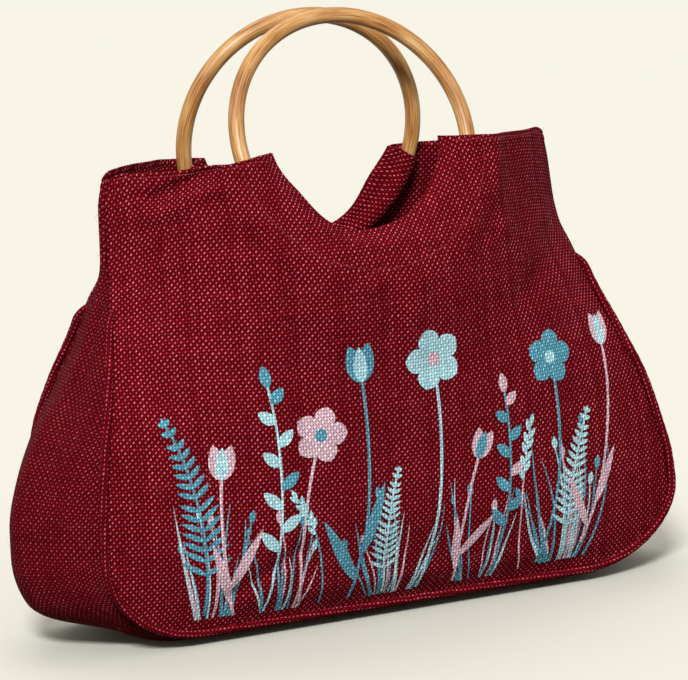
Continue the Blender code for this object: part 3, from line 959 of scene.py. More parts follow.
def gusset_points():
    lines = [seam_line(face) for face in FACES]
    out = seam_normals(lines[0])
    height = lines[0][:, 1] / RIM_HEIGHT
    left = read(SWELLS, height, "left")
    right = read(SWELLS, height, "right")
    swell = np.where(out[:, 0] < 0.0, left, right)[:, None]
    inset = CLOTH + SEAM_GAP
    ends = [
        np.stack([line[:, 0], face.side * (seam_depth(line[:, 1]) - inset), line[:, 1]], axis=-1)
        for face, line in zip(FACES, lines)
    ]
    down = smooth_step((-out[:, 1] - BASE_FROM) / (1.0 - BASE_FROM))[:, None]
    share = smooth_step(np.linspace(0.0, 1.0, STRIP_ACROSS + 1))[None, :]
    bend = np.abs(share - 0.5) / (0.5 - SEWN_SHARE)
    sides = np.maximum(1.0 - bend * bend, 0.0)
    base = np.minimum(BASE_FULLNESS * np.maximum(1.0 - bend**3, 0.0), 1.0)
    reach = GUSSET_SWELL * mix(swell * sides, SEAM_LIFT / GUSSET_SWELL * base, down)
    reach = reach + crease_depth(out[:, :1], share, height[:, None]) * sides
    outward = np.stack([out[:, 0], np.zeros(len(out)), out[:, 1]], axis=-1)
    straight = mix(ends[0][:, None], ends[1][:, None], share[..., None])
    return straight + outward[:, None] * reach[..., None]


strip = gusset_points()
steps = np.linalg.norm(np.diff(strip, axis=1), axis=-1)
across = np.hstack([np.zeros((len(strip), 1)), np.cumsum(steps, axis=1)])
across -= across[:, [STRIP_ACROSS // 2]]
along = lengths(strip[:, STRIP_ACROSS // 2])[:, None] + np.zeros_like(across)
gusset = grid_mesh("gusset_cloth", strip, np.stack([across, along], axis=-1))
cloth_wall(gusset, CLOTH)
# The gusset gets the jute with painted shade.
dress(gusset, JUTE_SIDE_PAINTED_SHADE, "gusset")
print("gusset's length:", round(float(along.max()), 3), "m")

# %% [markdown]
# ## The print
#
# A meadow of plain plants is screen printed over the lower half of the front: tulips,
# five-petal blossoms, leafy sprigs, ferns, ears of grass and bare blades, in teal, pale cyan
# and pale pink. Ink lies on the threads and hardly reaches the holes, so the weave shows
# through it.
#
# An image would be the usual way. Here each shape is a thin patch of mesh laid on the panel
# with the panel's own flat measure, so its weave runs on from the cloth round it, its edge
# is sharp at any size, and the plants can be changed in one table.

# %% The three inks
INK_RELIEF = 0.45
# Each ink gets the cloth's four colours: darker in the holes as painted shade, paler on the crowns and
# tips as painted highlight.
INK_COLOURS = {
    "teal": ("#44606E", "#5AA8BF", "#78C0D3", "#A6DCEA"),
    "cyan": ("#8FA6B0", "#B4ECF4", "#D4FAFD", "#F0FFFF"),
    "pink": ("#A07884", "#EAC4D0", "#F8DEE8", "#FFF2F7"),
}
INK_NAMES = {"teal": "Teal", "cyan": "Pale cyan", "pink": "Pale pink"}
INKS = {
    shade: jute(INK_NAMES[shade] + " screen ink on jute", *colours, relief=INK_RELIEF)
    for shade, colours in INK_COLOURS.items()
}
print("inks:", ", ".join(sorted(INKS)))

# %% The shapes that the plants are made of
STEM_POINTS = 60
LEAF_ROWS, LEAF_HALF = 14, 2
LEAF_FULLNESS = 0.75
DISC_SIDES, DISC_RINGS = 28, 3
DISC_HOLE = 0.04


def stem_line(foot, head, bow):
    """A line in the panel's plane that bows sideways by a share of its length."""
    foot, head = np.array(foot), np.array(head)
    share = np.linspace(0.0, 1.0, STEM_POINTS)[:, None]
    along = head - foot
    sideways = np.array([along[1], -along[0]]) * bow
    return foot + along * share + sideways * 4.0 * share * (1.0 - share)


def ribbon(line, width):
    """A strip round a line. Width may differ at each point."""
    side = seam_normals(line)
    half = np.broadcast_to(width, (len(line),))[:, None] / 2
    return np.stack([line - side * half, line, line + side * half], axis=1)


def leaf(at, turn, length, width, blunt):
    """A leaf or petal from its stalk. Turn is from upright, in degrees. Blunt widens its tip."""
    share = np.linspace(0.0, 1.0, LEAF_ROWS)
    half = width / 2 * np.sin(math.pi * share**blunt) ** LEAF_FULLNESS
    across = np.linspace(-1.0, 1.0, 2 * LEAF_HALF + 1)
    sideways = half[:, None] * across
    along = (share * length)[:, None] + np.zeros_like(sideways)
    c, s = math.cos(math.radians(turn)), math.sin(math.radians(turn))
    turned = np.stack([sideways * c + along * s, along * c - sideways * s], axis=-1)
    return np.array(at) + turned


def disc(at, radius):
    turns = np.linspace(0.0, 2.0 * math.pi, DISC_SIDES + 1)
    out = np.linspace(DISC_HOLE, 1.0, DISC_RINGS + 1)[:, None] * radius
    return np.array(at) + np.stack([out * np.cos(turns), out * np.sin(turns)], axis=-1)


def turn_at(line, share):
    """Where a line is at a share of its length, and its turn from upright there."""
    i = min(int(share * (len(line) - 1)), len(line) - 2)
    step = line[i + 1] - line[i]
    return line[i], math.degrees(math.atan2(step[0], step[1]))


print("a leaf's grid:", leaf((0.0, 0.0), 0.0, 1.0, 0.5, 1.0).shape[:2], "points")

# %% The leaves and petals
# Turn is from the stem, in degrees. Length and width are shares of the plant's own size.
Form = namedtuple("Form", "turn length width blunt")
FORMS = {
    "tulip leaf": Form(24.0, 1.9, 0.30, 0.8),
    "tulip petal": Form(15.0, 1.0, 0.50, 0.8),
    "tulip heart": Form(0.0, 0.9, 0.36, 0.8),
    "blossom petal": Form(0.0, 0.56, 0.44, 1.5),
    "sprig leaf": Form(48.0, 1.0, 0.42, 0.9),
    "sprig tip": Form(0.0, 0.8, 0.40, 0.9),
    "fern leaf": Form(58.0, 1.0, 0.17, 0.8),
    "grain": Form(26.0, 1.0, 0.42, 0.9),
    "grain at the tip": Form(0.0, 1.0, 0.40, 0.9),
    "bud": Form(0.0, 3.0, 1.5, 1.0),
}


def formed(kind, at, turn, size, side=1, longer=1.0):
    """A leaf by its form's name, on the right (side 1) or the left (side -1) of a stem."""
    form = FORMS[kind]
    return leaf(at, turn + side * form.turn, size * form.length * longer, size * form.width, form.blunt)


print("forms:", ", ".join(FORMS))

# %% The flowers
# Each plant is a list of its shapes from back to front, each with its ink.
STEM_WIDTH = 0.0021
TIP = 0.99
TULIP_LEAVES = ((-1, 0.10), (1, 0.22))
PETALS = 5
HEART = 0.13

# Degrees for each metre of size, so that blossoms of other sizes stand turned.
PETAL_START = 9000.0


def tulip(line, size, main, other):
    at, turn = line[-1], turn_at(line, TIP)[1]
    leaves = [(main, formed("tulip leaf", turn_at(line, where)[0], turn, size, side))
              for side, where in TULIP_LEAVES]
    cup = [(main, formed("tulip petal", at, turn, size, side)) for side in (-1, 1)]
    heart = (other, formed("tulip heart", at, turn, size))
    return [(main, ribbon(line, STEM_WIDTH)), *leaves, *cup, heart]


def blossom(line, size, main, other):
    turns = [360.0 / PETALS * k + size * PETAL_START for k in range(PETALS)]
    petals = [(main, formed("blossom petal", line[-1], turn, size)) for turn in turns]
    heart = (other, disc(line[-1], size * HEART))
    return [(main, ribbon(line, STEM_WIDTH)), *petals, heart]


print("a blossom has", PETALS, "petals, and a tulip has", len(TULIP_LEAVES), "leaves")

# %% The leafy stalks
THIN_STEM, EAR_STEM = 0.8, 0.6
SPRIG_FROM, SPRIG_TO, SPRIG_LEAVES = 0.28, 0.93, 8
SPRIG_LONGEST, SPRIG_TAPER = 1.15, 0.5
FERN_FROM, FERN_TO, FERN_LEAVES = 0.22, 0.97, 15
FERN_END, FERN_TAPER = 1.08, 0.7
EAR_FROM, EAR_TO, EAR_GRAINS = 0.66, 0.97, 9
BLADE_TAPER, BLADE_TIP = 0.7, 0.0002


def sprig(line, size, main, other):
    made = [(main, ribbon(line, STEM_WIDTH * THIN_STEM))]
    for number, share in enumerate(np.linspace(SPRIG_FROM, SPRIG_TO, SPRIG_LEAVES)):
        side = 1 if number % 2 else -1
        ink = other if number % 4 == 3 else main
        longer = SPRIG_LONGEST - SPRIG_TAPER * share
        made.append((ink, formed("sprig leaf", *turn_at(line, share), size, side, longer)))
    return made + [(other, formed("sprig tip", *turn_at(line, TIP), size))]


def fern(line, size, main, other):
    made = [(main, ribbon(line, STEM_WIDTH * THIN_STEM))]
    for share in np.linspace(FERN_FROM, FERN_TO, FERN_LEAVES):
        longer = (FERN_END - share) ** FERN_TAPER
        for side in (-1, 1):
            made.append((main, formed("fern leaf", *turn_at(line, share), size, side, longer)))
    return made


def ear(line, size, main, other):
    made = [(main, ribbon(line, STEM_WIDTH * EAR_STEM))]
    for number, share in enumerate(np.linspace(EAR_FROM, EAR_TO, EAR_GRAINS)):
        side = 1 if number % 2 else -1
        made.append((other, formed("grain", *turn_at(line, share), size, side)))
    tip_turn = turn_at(line, TIP)[1]
    return made + [(other, formed("grain at the tip", line[-1], tip_turn, size))]


def blade(line, width, ink):
    share = np.linspace(0.0, 1.0, len(line))
    return [(ink, ribbon(line, width * (1.0 - share) ** BLADE_TAPER + BLADE_TIP))]


PLANTS = {"tulip": tulip, "blossom": blossom, "sprig": sprig, "fern": fern, "ear": ear}
print("plants:", ", ".join(PLANTS))

# %% The meadow's table
# Foot and head are shares of half the bag's width, and height is a share of the rim's height.
Plant = namedtuple("Plant", "kind foot head low height bow size_mm main other")
MEADOW = [
    Plant("fern", -0.66, -0.76, 0.07, 0.50, 0.06, 22, "teal", "teal"),
    Plant("tulip", -0.56, -0.60, 0.06, 0.36, -0.05, 24, "pink", "cyan"),
    Plant("sprig", -0.46, -0.43, 0.06, 0.55, 0.05, 19, "cyan", "teal"),
    Plant("blossom", -0.34, -0.27, 0.06, 0.43, -0.06, 34, "pink", "teal"),
    Plant("ear", -0.27, -0.36, 0.06, 0.30, 0.08, 8, "teal", "cyan"),
    Plant("tulip", -0.17, -0.12, 0.06, 0.53, 0.04, 27, "teal", "cyan"),
    Plant("fern", -0.05, -0.01, 0.06, 0.34, -0.06, 15, "cyan", "cyan"),
    Plant("blossom", 0.07, 0.13, 0.06, 0.56, 0.05, 38, "cyan", "pink"),
    Plant("tulip", 0.20, 0.27, 0.06, 0.33, -0.05, 21, "pink", "teal"),
    Plant("sprig", 0.33, 0.38, 0.06, 0.47, 0.05, 17, "teal", "pink"),
    Plant("ear", 0.44, 0.47, 0.06, 0.38, -0.06, 9, "pink", "cyan"),
    Plant("blossom", 0.50, 0.57, 0.07, 0.52, 0.06, 33, "teal", "cyan"),
    Plant("fern", 0.60, 0.70, 0.08, 0.40, -0.06, 18, "cyan", "cyan"),
    Plant("tulip", 0.66, 0.80, 0.10, 0.52, 0.05, 22, "pink", "cyan"),
]
Tuft = namedtuple("Tuft", "middle spread low height count seed")
TUFTS = [
    Tuft(-0.62, 0.09, 0.06, 0.26, 13, 3),
    Tuft(-0.40, 0.10, 0.055, 0.20, 12, 5),
    Tuft(-0.02, 0.12, 0.055, 0.22, 15, 8),
    Tuft(0.28, 0.09, 0.055, 0.25, 12, 11),
    Tuft(0.60, 0.12, 0.065, 0.30, 22, 14),
]
TUFT_FOOT, TUFT_FAN = 0.7, 0.8
SHORTEST = 0.45
BLADE_BOW = 0.07
BLADE_WIDTH = (0.0016, 0.0030)
BLADE_INKS = ("teal", "cyan", "teal", "pink")
BUD_MM = (2.0, 3.4)
BUD_TURN = 20.0
BUD_STEM = 0.5


def grown(plant):
    foot = (plant.foot * BODY_WIDTH / 2, plant.low * RIM_HEIGHT)
    head = (plant.head * BODY_WIDTH / 2, plant.height * RIM_HEIGHT)
    line = stem_line(foot, head, plant.bow)
    return PLANTS[plant.kind](line, plant.size_mm / 1000, plant.main, plant.other)


def grass(tuft):
    """Bare blades and thin stalks with a bud on top, fanned out from one place."""
    draw = np.random.default_rng(tuft.seed)
    scale = np.array([BODY_WIDTH / 2, RIM_HEIGHT])
    made = []
    for number in range(tuft.count):
        way = draw.uniform(-1.0, 1.0)
        foot = np.array([tuft.middle + tuft.spread * TUFT_FOOT * way, tuft.low])
        tall = tuft.height * draw.uniform(SHORTEST, 1.0)
        head = np.array([foot[0] + way * tuft.spread * TUFT_FAN, tuft.low + tall])
        line = stem_line(foot * scale, head * scale, draw.uniform(-BLADE_BOW, BLADE_BOW))
        ink = BLADE_INKS[number % 4]
        if number % 3:
            made += blade(line, draw.uniform(*BLADE_WIDTH), ink)
        else:
            bud = draw.uniform(*BUD_MM) / 1000
            made.append((ink, ribbon(line, STEM_WIDTH * BUD_STEM)))
            made.append((ink, formed("bud", line[-1], way * BUD_TURN, bud)))
    return made


print(len(MEADOW), "plants and", sum(tuft.count for tuft in TUFTS), "stalks of grass")

# %% The ink laid on the panel
INK_PROUD = 0.00012
INK_STEP = 0.000004
PROBE = 0.0005


def on_panel(face, plan, lift):
    """Points of the panel's face at places in its plane, lifted off along its normal."""
    x, z = plan[..., 0], plan[..., 1]
    depth = panel_depth(face, x, z)
    slope_x = (panel_depth(face, x + PROBE, z) - depth) / PROBE
    slope_z = (panel_depth(face, x, z + PROBE) - depth) / PROBE
    normal = np.stack([-slope_x, np.full_like(x, face.side), -slope_z], axis=-1)
    normal /= np.linalg.norm(normal, axis=-1, keepdims=True)
    return np.stack([x, face.side * depth, z], axis=-1) + normal * lift


def joined_grids(name, grids, flats, inward):
    """One mesh from many small grids, each turned to face away from the inward direction."""
    faces, uvs, start = [], [], 0
    for grid, flat in zip(grids, flats):
        rows, columns = grid.shape[:2]
        quads = grid_quads(rows, columns)
        if way_out(grid)[rows // 2, columns // 2] @ inward > 0.0:
            quads = quads[:, ::-1]
        faces.append(quads + start)
        uvs.append(flat.reshape(-1, 2)[quads])
        start += rows * columns
    points = np.vstack([grid.reshape(-1, 3) for grid in grids])
    return mesh_object(name, points, np.vstack(faces).tolist(), np.vstack(uvs))


print("ink stands", round(INK_PROUD * 1000, 2), "mm off the cloth")

# %% The three layers of ink
front = FACES[0]
INTO_BAG = np.array([0.0, 1.0, 0.0])
shapes = [shape for tuft in TUFTS for shape in grass(tuft)]
shapes += [shape for plant in MEADOW for shape in grown(plant)]
prints = []
for shade, finish in INKS.items():
    plans = [(number, plan) for number, (own, plan) in enumerate(shapes) if own == shade]
    grids = [on_panel(front, plan, INK_PROUD + number * INK_STEP) for number, plan in plans]
    flats = [flat_measure(front, plan[..., 0], plan[..., 1]) for _, plan in plans]
    made = joined_grids("print_" + shade, grids, flats, INTO_BAG)
    dress(made, finish)
    prints.append(made)

# %% [markdown]
# ## Cords, rings and stitches
#
# A piping cord, a cane ring and a single stitch are all a round section that follows a line.
# A curve object with a bevel would do, but it keeps no flat measure, and the piping's cover
# and the cane's grain both need one. So one function sweeps a circle along any line and
# stores how far along and how far round each point is.

# %% Sweeping a round section
LEAST_CROSS = 0.1


def sweep(line, radius, sides, closed=False):
    """A tube round a line of points, and its flat measure. Radius may differ at each point."""
    line = np.asarray(line, float)
    count = len(line)
    radius = np.broadcast_to(radius, (count,))
    if closed:
        tangent = np.roll(line, -1, axis=0) - np.roll(line, 1, axis=0)
    else:
        tangent = np.gradient(line, axis=0)
    tangent /= np.linalg.norm(tangent, axis=1, keepdims=True)

    # One side direction is carried along the line without twisting, and the other is square to it.
    side = np.cross(tangent[0], [0.0, 1.0, 0.0])
    if np.linalg.norm(side) < LEAST_CROSS:
        side = np.cross(tangent[0], [0.0, 0.0, 1.0])
    sides_way = np.empty_like(line)
    for i in range(count):
        side = side - tangent[i] * (side @ tangent[i])
        side /= np.linalg.norm(side)
        sides_way[i] = side
    other = np.cross(tangent, sides_way)

    turns = np.linspace(0.0, 2.0 * math.pi, sides + 1)
    ring = np.cos(turns)[None, :, None] * sides_way[:, None]
    ring = ring + np.sin(turns)[None, :, None] * other[:, None]
    points = line[:, None] + ring * radius[:, None, None]
    run = lengths(line)[:, None] + np.zeros((1, sides + 1))
    around = turns[None, :] * radius.mean() + np.zeros((count, 1))
    return points, np.stack([run, around], axis=-1)


def corners_of(grid, axis):
    """The four corners of each cell of a grid, in the order that faces them outwards."""
    return np.stack([grid[:-1, :-1], grid[1:, :-1], grid[1:, 1:], grid[:-1, 1:]], axis=axis)


def tube_mesh(name, tubes, closed=False):
    """One mesh from several swept tubes. Open ones get closed ends."""
    points, flats, faces = [], [], []
    start = 0
    for tube, flat in tubes:
        rows, columns = tube.shape[:2]
        sides = columns - 1
        index = start + np.arange(rows * sides).reshape(rows, sides)
        index = np.hstack([index, index[:, :1]])
        if closed:
            index = np.vstack([index, index[:1]])
            step = flat[1, 0, 0] - flat[0, 0, 0]
            flat = np.vstack([flat, flat[-1:] + np.array([step, 0.0])])
        faces += corners_of(index, -1).reshape(-1, 4).tolist()
        flats.append(corners_of(flat, -2).reshape(-1, 2))
        if not closed:
            faces += [index[0, :-1].tolist(), index[-1, :-1][::-1].tolist()]
            flats += [flat[0, :-1], flat[-1, :-1][::-1]]
        points.append(tube[:, :-1].reshape(-1, 3))
        start += rows * sides
    return mesh_object(name, np.vstack(points), faces, np.vstack(flats))


short_tube = sweep([[0.0, 0.0, 0.0], [0.0, 0.0, 1.0], [0.0, 0.0, 2.0]], 0.1, 4)[0]
print("a tube along 3 points with 4 sides has a grid of", short_tube.shape[:2], "points")

# %% [markdown]
# ## Piping
#
# A thin cord is covered with a strip of the same jute, cut on the bias so that it bends
# round the corners, and sewn into the seam between panel and gusset. The cover's threads run
# slantwise over the cord. It stops at the shoulder, where its end is tucked into the seam.

# %% The two pipings
PIPING = 0.0054
PIPING_TOP = 0.73
TUCK = 0.016
TUCK_THIN = 0.45
TUCK_IN, TUCK_BACK = 0.0058, 0.5
PUCKER = 0.035
PUCKER_LENGTH = 0.0085
PUCKER_DRIFT = 90.0
PIPING_STEP = 0.0022
PIPING_SIDES = 14
SEAM_BITE = 0.0003


def piping_line(face):
    line = seam_line(face)
    out = seam_normals(line)
    reach = (PIPING / 2 - SEAM_BITE) * math.sqrt(0.5)
    depth = face.side * (seam_depth(line[:, 1]) + reach)
    moved = line + out * reach
    points = np.stack([moved[:, 0], depth, moved[:, 1]], axis=-1)
    return points[line[:, 1] < PIPING_TOP * RIM_HEIGHT]


def along_line(line, values, at):
    """The values that go with a line's points, at some distances along the line."""
    run = lengths(line)
    return np.stack([np.interp(at, run, values[:, k]) for k in range(3)], axis=-1)


for face in FACES:
    line = piping_line(face)
    whole = lengths(line)[-1]
    even = np.linspace(0.0, whole, int(whole / PIPING_STEP) + 1)
    line = along_line(line, line, even)
    run = lengths(line)
    to_end = np.minimum(run, run[-1] - run)
    into_seam = TUCK_IN * (1.0 - smooth_step(to_end / TUCK))
    line[:, 0] -= np.sign(line[:, 0]) * into_seam
    line[:, 1] -= face.side * into_seam * TUCK_BACK
    tucked = mix(TUCK_THIN, 1.0, smooth_step(to_end / TUCK))
    wave = 2.0 * math.pi * run / PUCKER_LENGTH + np.sin(run * PUCKER_DRIFT)
    gathers = 1.0 + PUCKER * np.sin(wave)
    tube = sweep(line, PIPING / 2 * tucked * gathers, PIPING_SIDES)
    made = tube_mesh(face.name + "_piping_cover", [tube])
    dress(made, JUTE_BIAS, face.name + "_piping")
    print(made.name, "runs", round(float(run[-1]), 3), "m")

# %% [markdown]
# ## The channels behind the notches
#
# A strip of cloth is sewn along the notch's edge and again below the ring, and the ring lies
# in the channel between. From the mouth one sees it as a soft roll that hugs the cane.

# %% The two casings
RING_GAP = 0.0005
CASING_MARGIN = 0.0085
CASING_LIP = 0.0027
CASING_DIP = 0.0006
CASING_TURN = 0.6
CASING_POINTS = 150
CASING_TRIM = 0.045
CASING_THIN = 0.6
HUG_POINTS = 13
HUG_FROM, HUG_TO = 0.12, 0.88

casings = {}
for face in FACES:
    angle = notch_turns(face, CASING_POINTS)[:, None]
    notch = notch_radius(face, angle) - RING_RADIUS
    reach = CANE / 2 + RING_GAP + CLOTH / 4
    hug = np.linspace(HUG_FROM, HUG_TO, HUG_POINTS) * math.pi

    # From the notch's edge the strip turns in, hugs the cane and ends at its lower seam.
    turn_in = mix(notch, -reach, CASING_TURN)
    hugging = -reach * np.cos(hug) + np.zeros_like(notch)
    sideways = np.hstack([notch, turn_in, hugging, np.full_like(notch, CASING_MARGIN)])
    back = np.concatenate([[-SEAM_GAP / 2, -CASING_DIP], -reach * np.sin(hug), [CASING_LIP]])
    level = np.zeros_like(sideways)
    trimmed = angle * (1.0 - CASING_TRIM * np.linspace(0.0, 1.0, len(back)))
    points = on_ring_plane(face, RING_RADIUS + sideways, trimmed, back[None, :] + level)
    steps = np.hypot(np.diff(sideways[0]), np.diff(back))
    flat_across = np.concatenate([[0.0], np.cumsum(steps)])
    flat = np.stack([angle * RING_RADIUS + level, flat_across[None, :] + level], axis=-1)
    made = grid_mesh(face.name + "_casing_cloth", points, flat)
    if normals_of(points)[CASING_POINTS // 2, 2] @ ring_frame(face)[3] < 0.0:
        made.data.flip_normals()
    cloth_wall(made, CLOTH * CASING_THIN)
    dress(made, JUTE, face.name + "_casing")
    casings[face.name] = made

# %% [markdown]
# ## Stitches
#
# The hems and the channels are machine sewn in a polyester thread of nearly the same red.
# A lockstitch shows as a row of short dashes that dip into the cloth at both ends. Each dash
# here is a small bent tube, so that it catches the light as a real one does.

# %% The thread
THREAD_TWIST_MM = 0.45
THREAD_TURN = 45.0

# At scale 1 a wave texture repeats after this many units.
WAVE_REPEAT = 0.31
TWIST_DISTORTION = 0.6
TWIST_DEPTH = 0.0001
POLYESTER_IOR = 1.57
THREAD_ROUGHNESS, THREAD_SPECULAR = 0.42, 0.2


def sewing_thread():
    made, tree, shader = new_material("Polyester sewing thread")
    twist = add(tree, "TexWave", {"Vector": flat_millimetres(tree, THREAD_TURN),
                                  "Scale": WAVE_REPEAT / THREAD_TWIST_MM,
                                  "Distortion": TWIST_DISTORTION})
    # The twist's wave also sets the colour: darker in its grooves as painted shade, paler on its ridges
    # as painted highlight.
    colour = ramp(add(tree, "ValToRGB", {0: twist.outputs["Fac"]}),
                  [(0.2, "#5A0C18"), (0.8, "#A83C4A")])
    tree.links.new(colour, shader.inputs["Base Color"])
    bump = add(tree, "Bump", {"Height": twist.outputs["Fac"], "Distance": TWIST_DEPTH})
    tree.links.new(bump.outputs[0], shader.inputs["Normal"])
    set_constants(shader, Roughness=THREAD_ROUGHNESS, IOR=POLYESTER_IOR,
                  Specular_IOR_Level=THREAD_SPECULAR)
    return made


THREAD = sewing_thread()
print("thread:", THREAD.name)

# %% The dashes
STITCH_PITCH = 0.0036
STITCH_SHARE = 0.66
STITCH_POINTS, STITCH_SIDES = 6, 7
THREAD_THICK = 0.00075
THREAD_STANDS = 0.00035
THREAD_SUNK = 0.35


def dashes(line, normal):
    """Short tubes along a line on the cloth, each with its ends in the cloth."""
    share = np.linspace(0.0, 1.0, STITCH_POINTS)
    lift = THREAD_STANDS * (4.0 * share * (1.0 - share)) - THREAD_THICK * THREAD_SUNK
    tubes = []
    for start in np.arange(0.0, lengths(line)[-1] - STITCH_PITCH, STITCH_PITCH):
        at = start + share * STITCH_PITCH * STITCH_SHARE
        points = along_line(line, line, at) + along_line(line, normal, at) * lift[:, None]
        tubes.append(sweep(points, THREAD_THICK / 2, STITCH_SIDES))
    return tubes


print("a stitch every", STITCH_PITCH * 1000, "mm")

# %% The rows of stitches
CHANNEL_STITCH = CASING_MARGIN - 0.0015
CHANNEL_SHARE = 0.97
CHANNEL_POINTS = 120
NORMAL_STEP = 0.001

for face in FACES:
    turns = notch_turns(face, CHANNEL_POINTS, CHANNEL_SHARE)
    plan = on_ring_plane(face, RING_RADIUS + CHANNEL_STITCH, turns)[:, [0, 2]]
    line = on_panel(face, plan, 0.0)
    seams.append((line, (on_panel(face, plan, NORMAL_STEP) - line) / NORMAL_STEP))
strip_normal = normals_of(strip)
middle = (1, STRIP_ACROSS // 2)
strip_normal *= np.sign(strip_normal[middle][0]) * np.sign(strip[middle][0])
shells.append((strip, strip_normal))
inner_part = slice(STITCH_MARGIN, -STITCH_MARGIN)
for row in (1, -2):
    seams.append((strip[row, inner_part], strip_normal[row, inner_part]))

tubes = [tube for line, normal in seams for tube in dashes(line, normal)]
stitching = tube_mesh("stitching", tubes)
dress(stitching, THREAD)
print("stitches:", len(tubes), "in", len(seams), "rows")

# %% [markdown]
# ## Loose fibres
#
# Jute sheds: short stiff fibre ends stand off the yarn all over the cloth, and they show best
# against the pale ground at the outline. A hair system would be the usual way, but some
# fifteen hundred thin swept tubes are enough here, cost little and stay as plain geometry.
# Each one leaves the cloth, bends over and ends free. None reaches below the floor.

# %% The fibres' finish
FIBRE_PATCH_MM = 2.5
FIBRE_ROUGHNESS = 0.7


def fibre_finish():
    made, tree, shader = new_material("Loose jute fibre")
    patchy = add(tree, "TexNoise", {"Vector": flat_millimetres(tree), "Scale": 1.0 / FIBRE_PATCH_MM,
                                    "Detail": 1.0}, noise_dimensions="2D")
    colour = ramp(add(tree, "ValToRGB", {0: patchy}), [(0.35, "#8E1E2E"), (0.65, "#D08A94")])
    tree.links.new(colour, shader.inputs["Base Color"])
    set_constants(shader, Roughness=FIBRE_ROUGHNESS, IOR=FIBRE_IOR)
    return made


FIBRE_FINISH = fibre_finish()
print("fibres:", FIBRE_FINISH.name)

# %% The fibre ends
FIBRE_COUNT = 1500
FIBRE_SEED = 41

# A fibre end is finer than this in truth, and is drawn thicker so that it shows.
FIBRE_THICK = 0.00011
FIBRE_LENGTH = (0.0025, 0.0075)
FIBRE_RISE = (0.10, 0.42)
FIBRE_CURL = 1.6
FIBRE_TAPER = 0.45
FIBRE_POINTS, FIBRE_SIDES = 5, 4
GRID_MARGIN, TOP_MARGIN = 4, 18

draw = np.random.default_rng(FIBRE_SEED)
share = np.linspace(0.0, 1.0, FIBRE_POINTS)[:, None]
thinning = FIBRE_THICK / 2 * np.linspace(1.0, FIBRE_TAPER, FIBRE_POINTS)
fibres = []
for number in range(FIBRE_COUNT):
    points, normals = shells[number % len(shells)]
    i = draw.integers(GRID_MARGIN, len(points) - TOP_MARGIN)
    j = draw.integers(GRID_MARGIN, points.shape[1] - GRID_MARGIN)
    start, out = points[i, j], normals[i, j]
    along = np.cross(out, draw.normal(size=3))
    along /= np.linalg.norm(along)
    length, rise = draw.uniform(*FIBRE_LENGTH), draw.uniform(*FIBRE_RISE)
    lift = length * rise * (FIBRE_CURL * share - share * share)
    line = start + along * length * share + out * lift - out * FIBRE_THICK
    if line[:, 2].min() >= FIBRE_THICK:
        fibres.append(sweep(line, thinning, FIBRE_SIDES))
fuzz = tube_mesh("loose_fibres", fibres)
dress(fuzz, FIBRE_FINISH)
print("loose fibres:", len(fibres))

# %% [markdown]
# ## The rings
#
# Bent cane is never quite even: it swells and thins by a few tenths of a millimetre and its
# section is not a perfect circle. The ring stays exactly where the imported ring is, because
# the channels were made round it, and only its skin is worked.

# %% The two rings
RING_POINTS = 260
CANE_SIDES = 28
CANE_UNEVEN = 0.008
Wave = namedtuple("Wave", "cycles strength shift_per_ring shift")
CANE_WAVES = [Wave(3, 1.0, 1.0, 0.0), Wave(7, 0.6, 2.0, 0.0), Wave(17, 0.4, 0.0, 1.3)]

for number, face in enumerate(FACES):
    angle = np.linspace(0.0, 2.0 * math.pi, RING_POINTS, endpoint=False)
    uneven = sum(
        wave.strength * np.sin(wave.cycles * angle + wave.shift_per_ring * number + wave.shift)
        for wave in CANE_WAVES
    )
    radius = CANE / 2 * (1.0 + CANE_UNEVEN * uneven)
    ring = sweep(on_ring_plane(face, RING_RADIUS, angle), radius, CANE_SIDES, closed=True)
    made = tube_mesh(face.name + "_ring_cane", [ring], closed=True)
    dress(made, CANE_FINISH, face.name + "_ring")

# %% [markdown]
# ## How large each cloth was cut
#
# A maker needs the flat size of each piece of cloth. It comes from the flat measure: its
# reach both ways and the area that its quads cover there.

# %% The cut sizes


def cut_size(thing):
    """The flat width, length and area of a cloth, in metres, from its flat measure."""
    layer = thing.data.uv_layers[FLAT]
    flat = np.empty(len(layer.data) * 2, np.float32)
    layer.data.foreach_get("uv", flat)
    corners = flat.reshape(-1, 4, 2).astype(float)
    reach = np.ptp(corners.reshape(-1, 2), axis=0)
    one, other = corners[:, 2] - corners[:, 0], corners[:, 3] - corners[:, 1]
    area = np.abs(one[:, 0] * other[:, 1] - one[:, 1] * other[:, 0]).sum() / 2
    return float(reach[0]), float(reach[1]), float(area)


on_front = sorted(prints, key=lambda thing: thing.name) + [stitching]
CLOTHS = [
    (panels["front"], "hung", ["front_ring"], on_front),
    (panels["back"], "hung", ["back_ring"], []),
    (gusset, "hung", ["front_panel", "back_panel"], []),
    (casings["front"], "folded", ["front_ring"], []),
    (casings["back"], "folded", ["back_ring"], []),
]
for cloth, held, rests_on, with_pieces in CLOTHS:
    width, length, area = cut_size(cloth)
    print(cloth.name, "was cut", round(width, 3), "x", round(length, 3), "m,", round(area, 4), "m2")

# %% [markdown]
# ## The camera
#
# The photograph was taken from the front and a little to the left, from just above the bag's
# middle, with the picture turned by about three degrees. The place of the camera was worked
# out from the two rings, which are circles of one size. A long lens keeps the same soft
# perspective, and a small shift keeps the bag where it is in the frame.

# %% The camera
FRAME_WIDTH_PX, FRAME_HEIGHT_PX = 688, 680
CAMERA_TURN = math.radians(26.0)
CAMERA_RISE = math.radians(9.0)
CAMERA_ROLL = math.radians(3.3)
CAMERA_AWAY = 3.2
FOCAL_PX = 4760.0
AIM_PX = (334.65, 297.13)
SENSOR_MM = 36.0
SEES_TO = 50.0
AIM_HEIGHT = 0.208
aim = np.array([0.0, 0.0, AIM_HEIGHT]) + MOVE

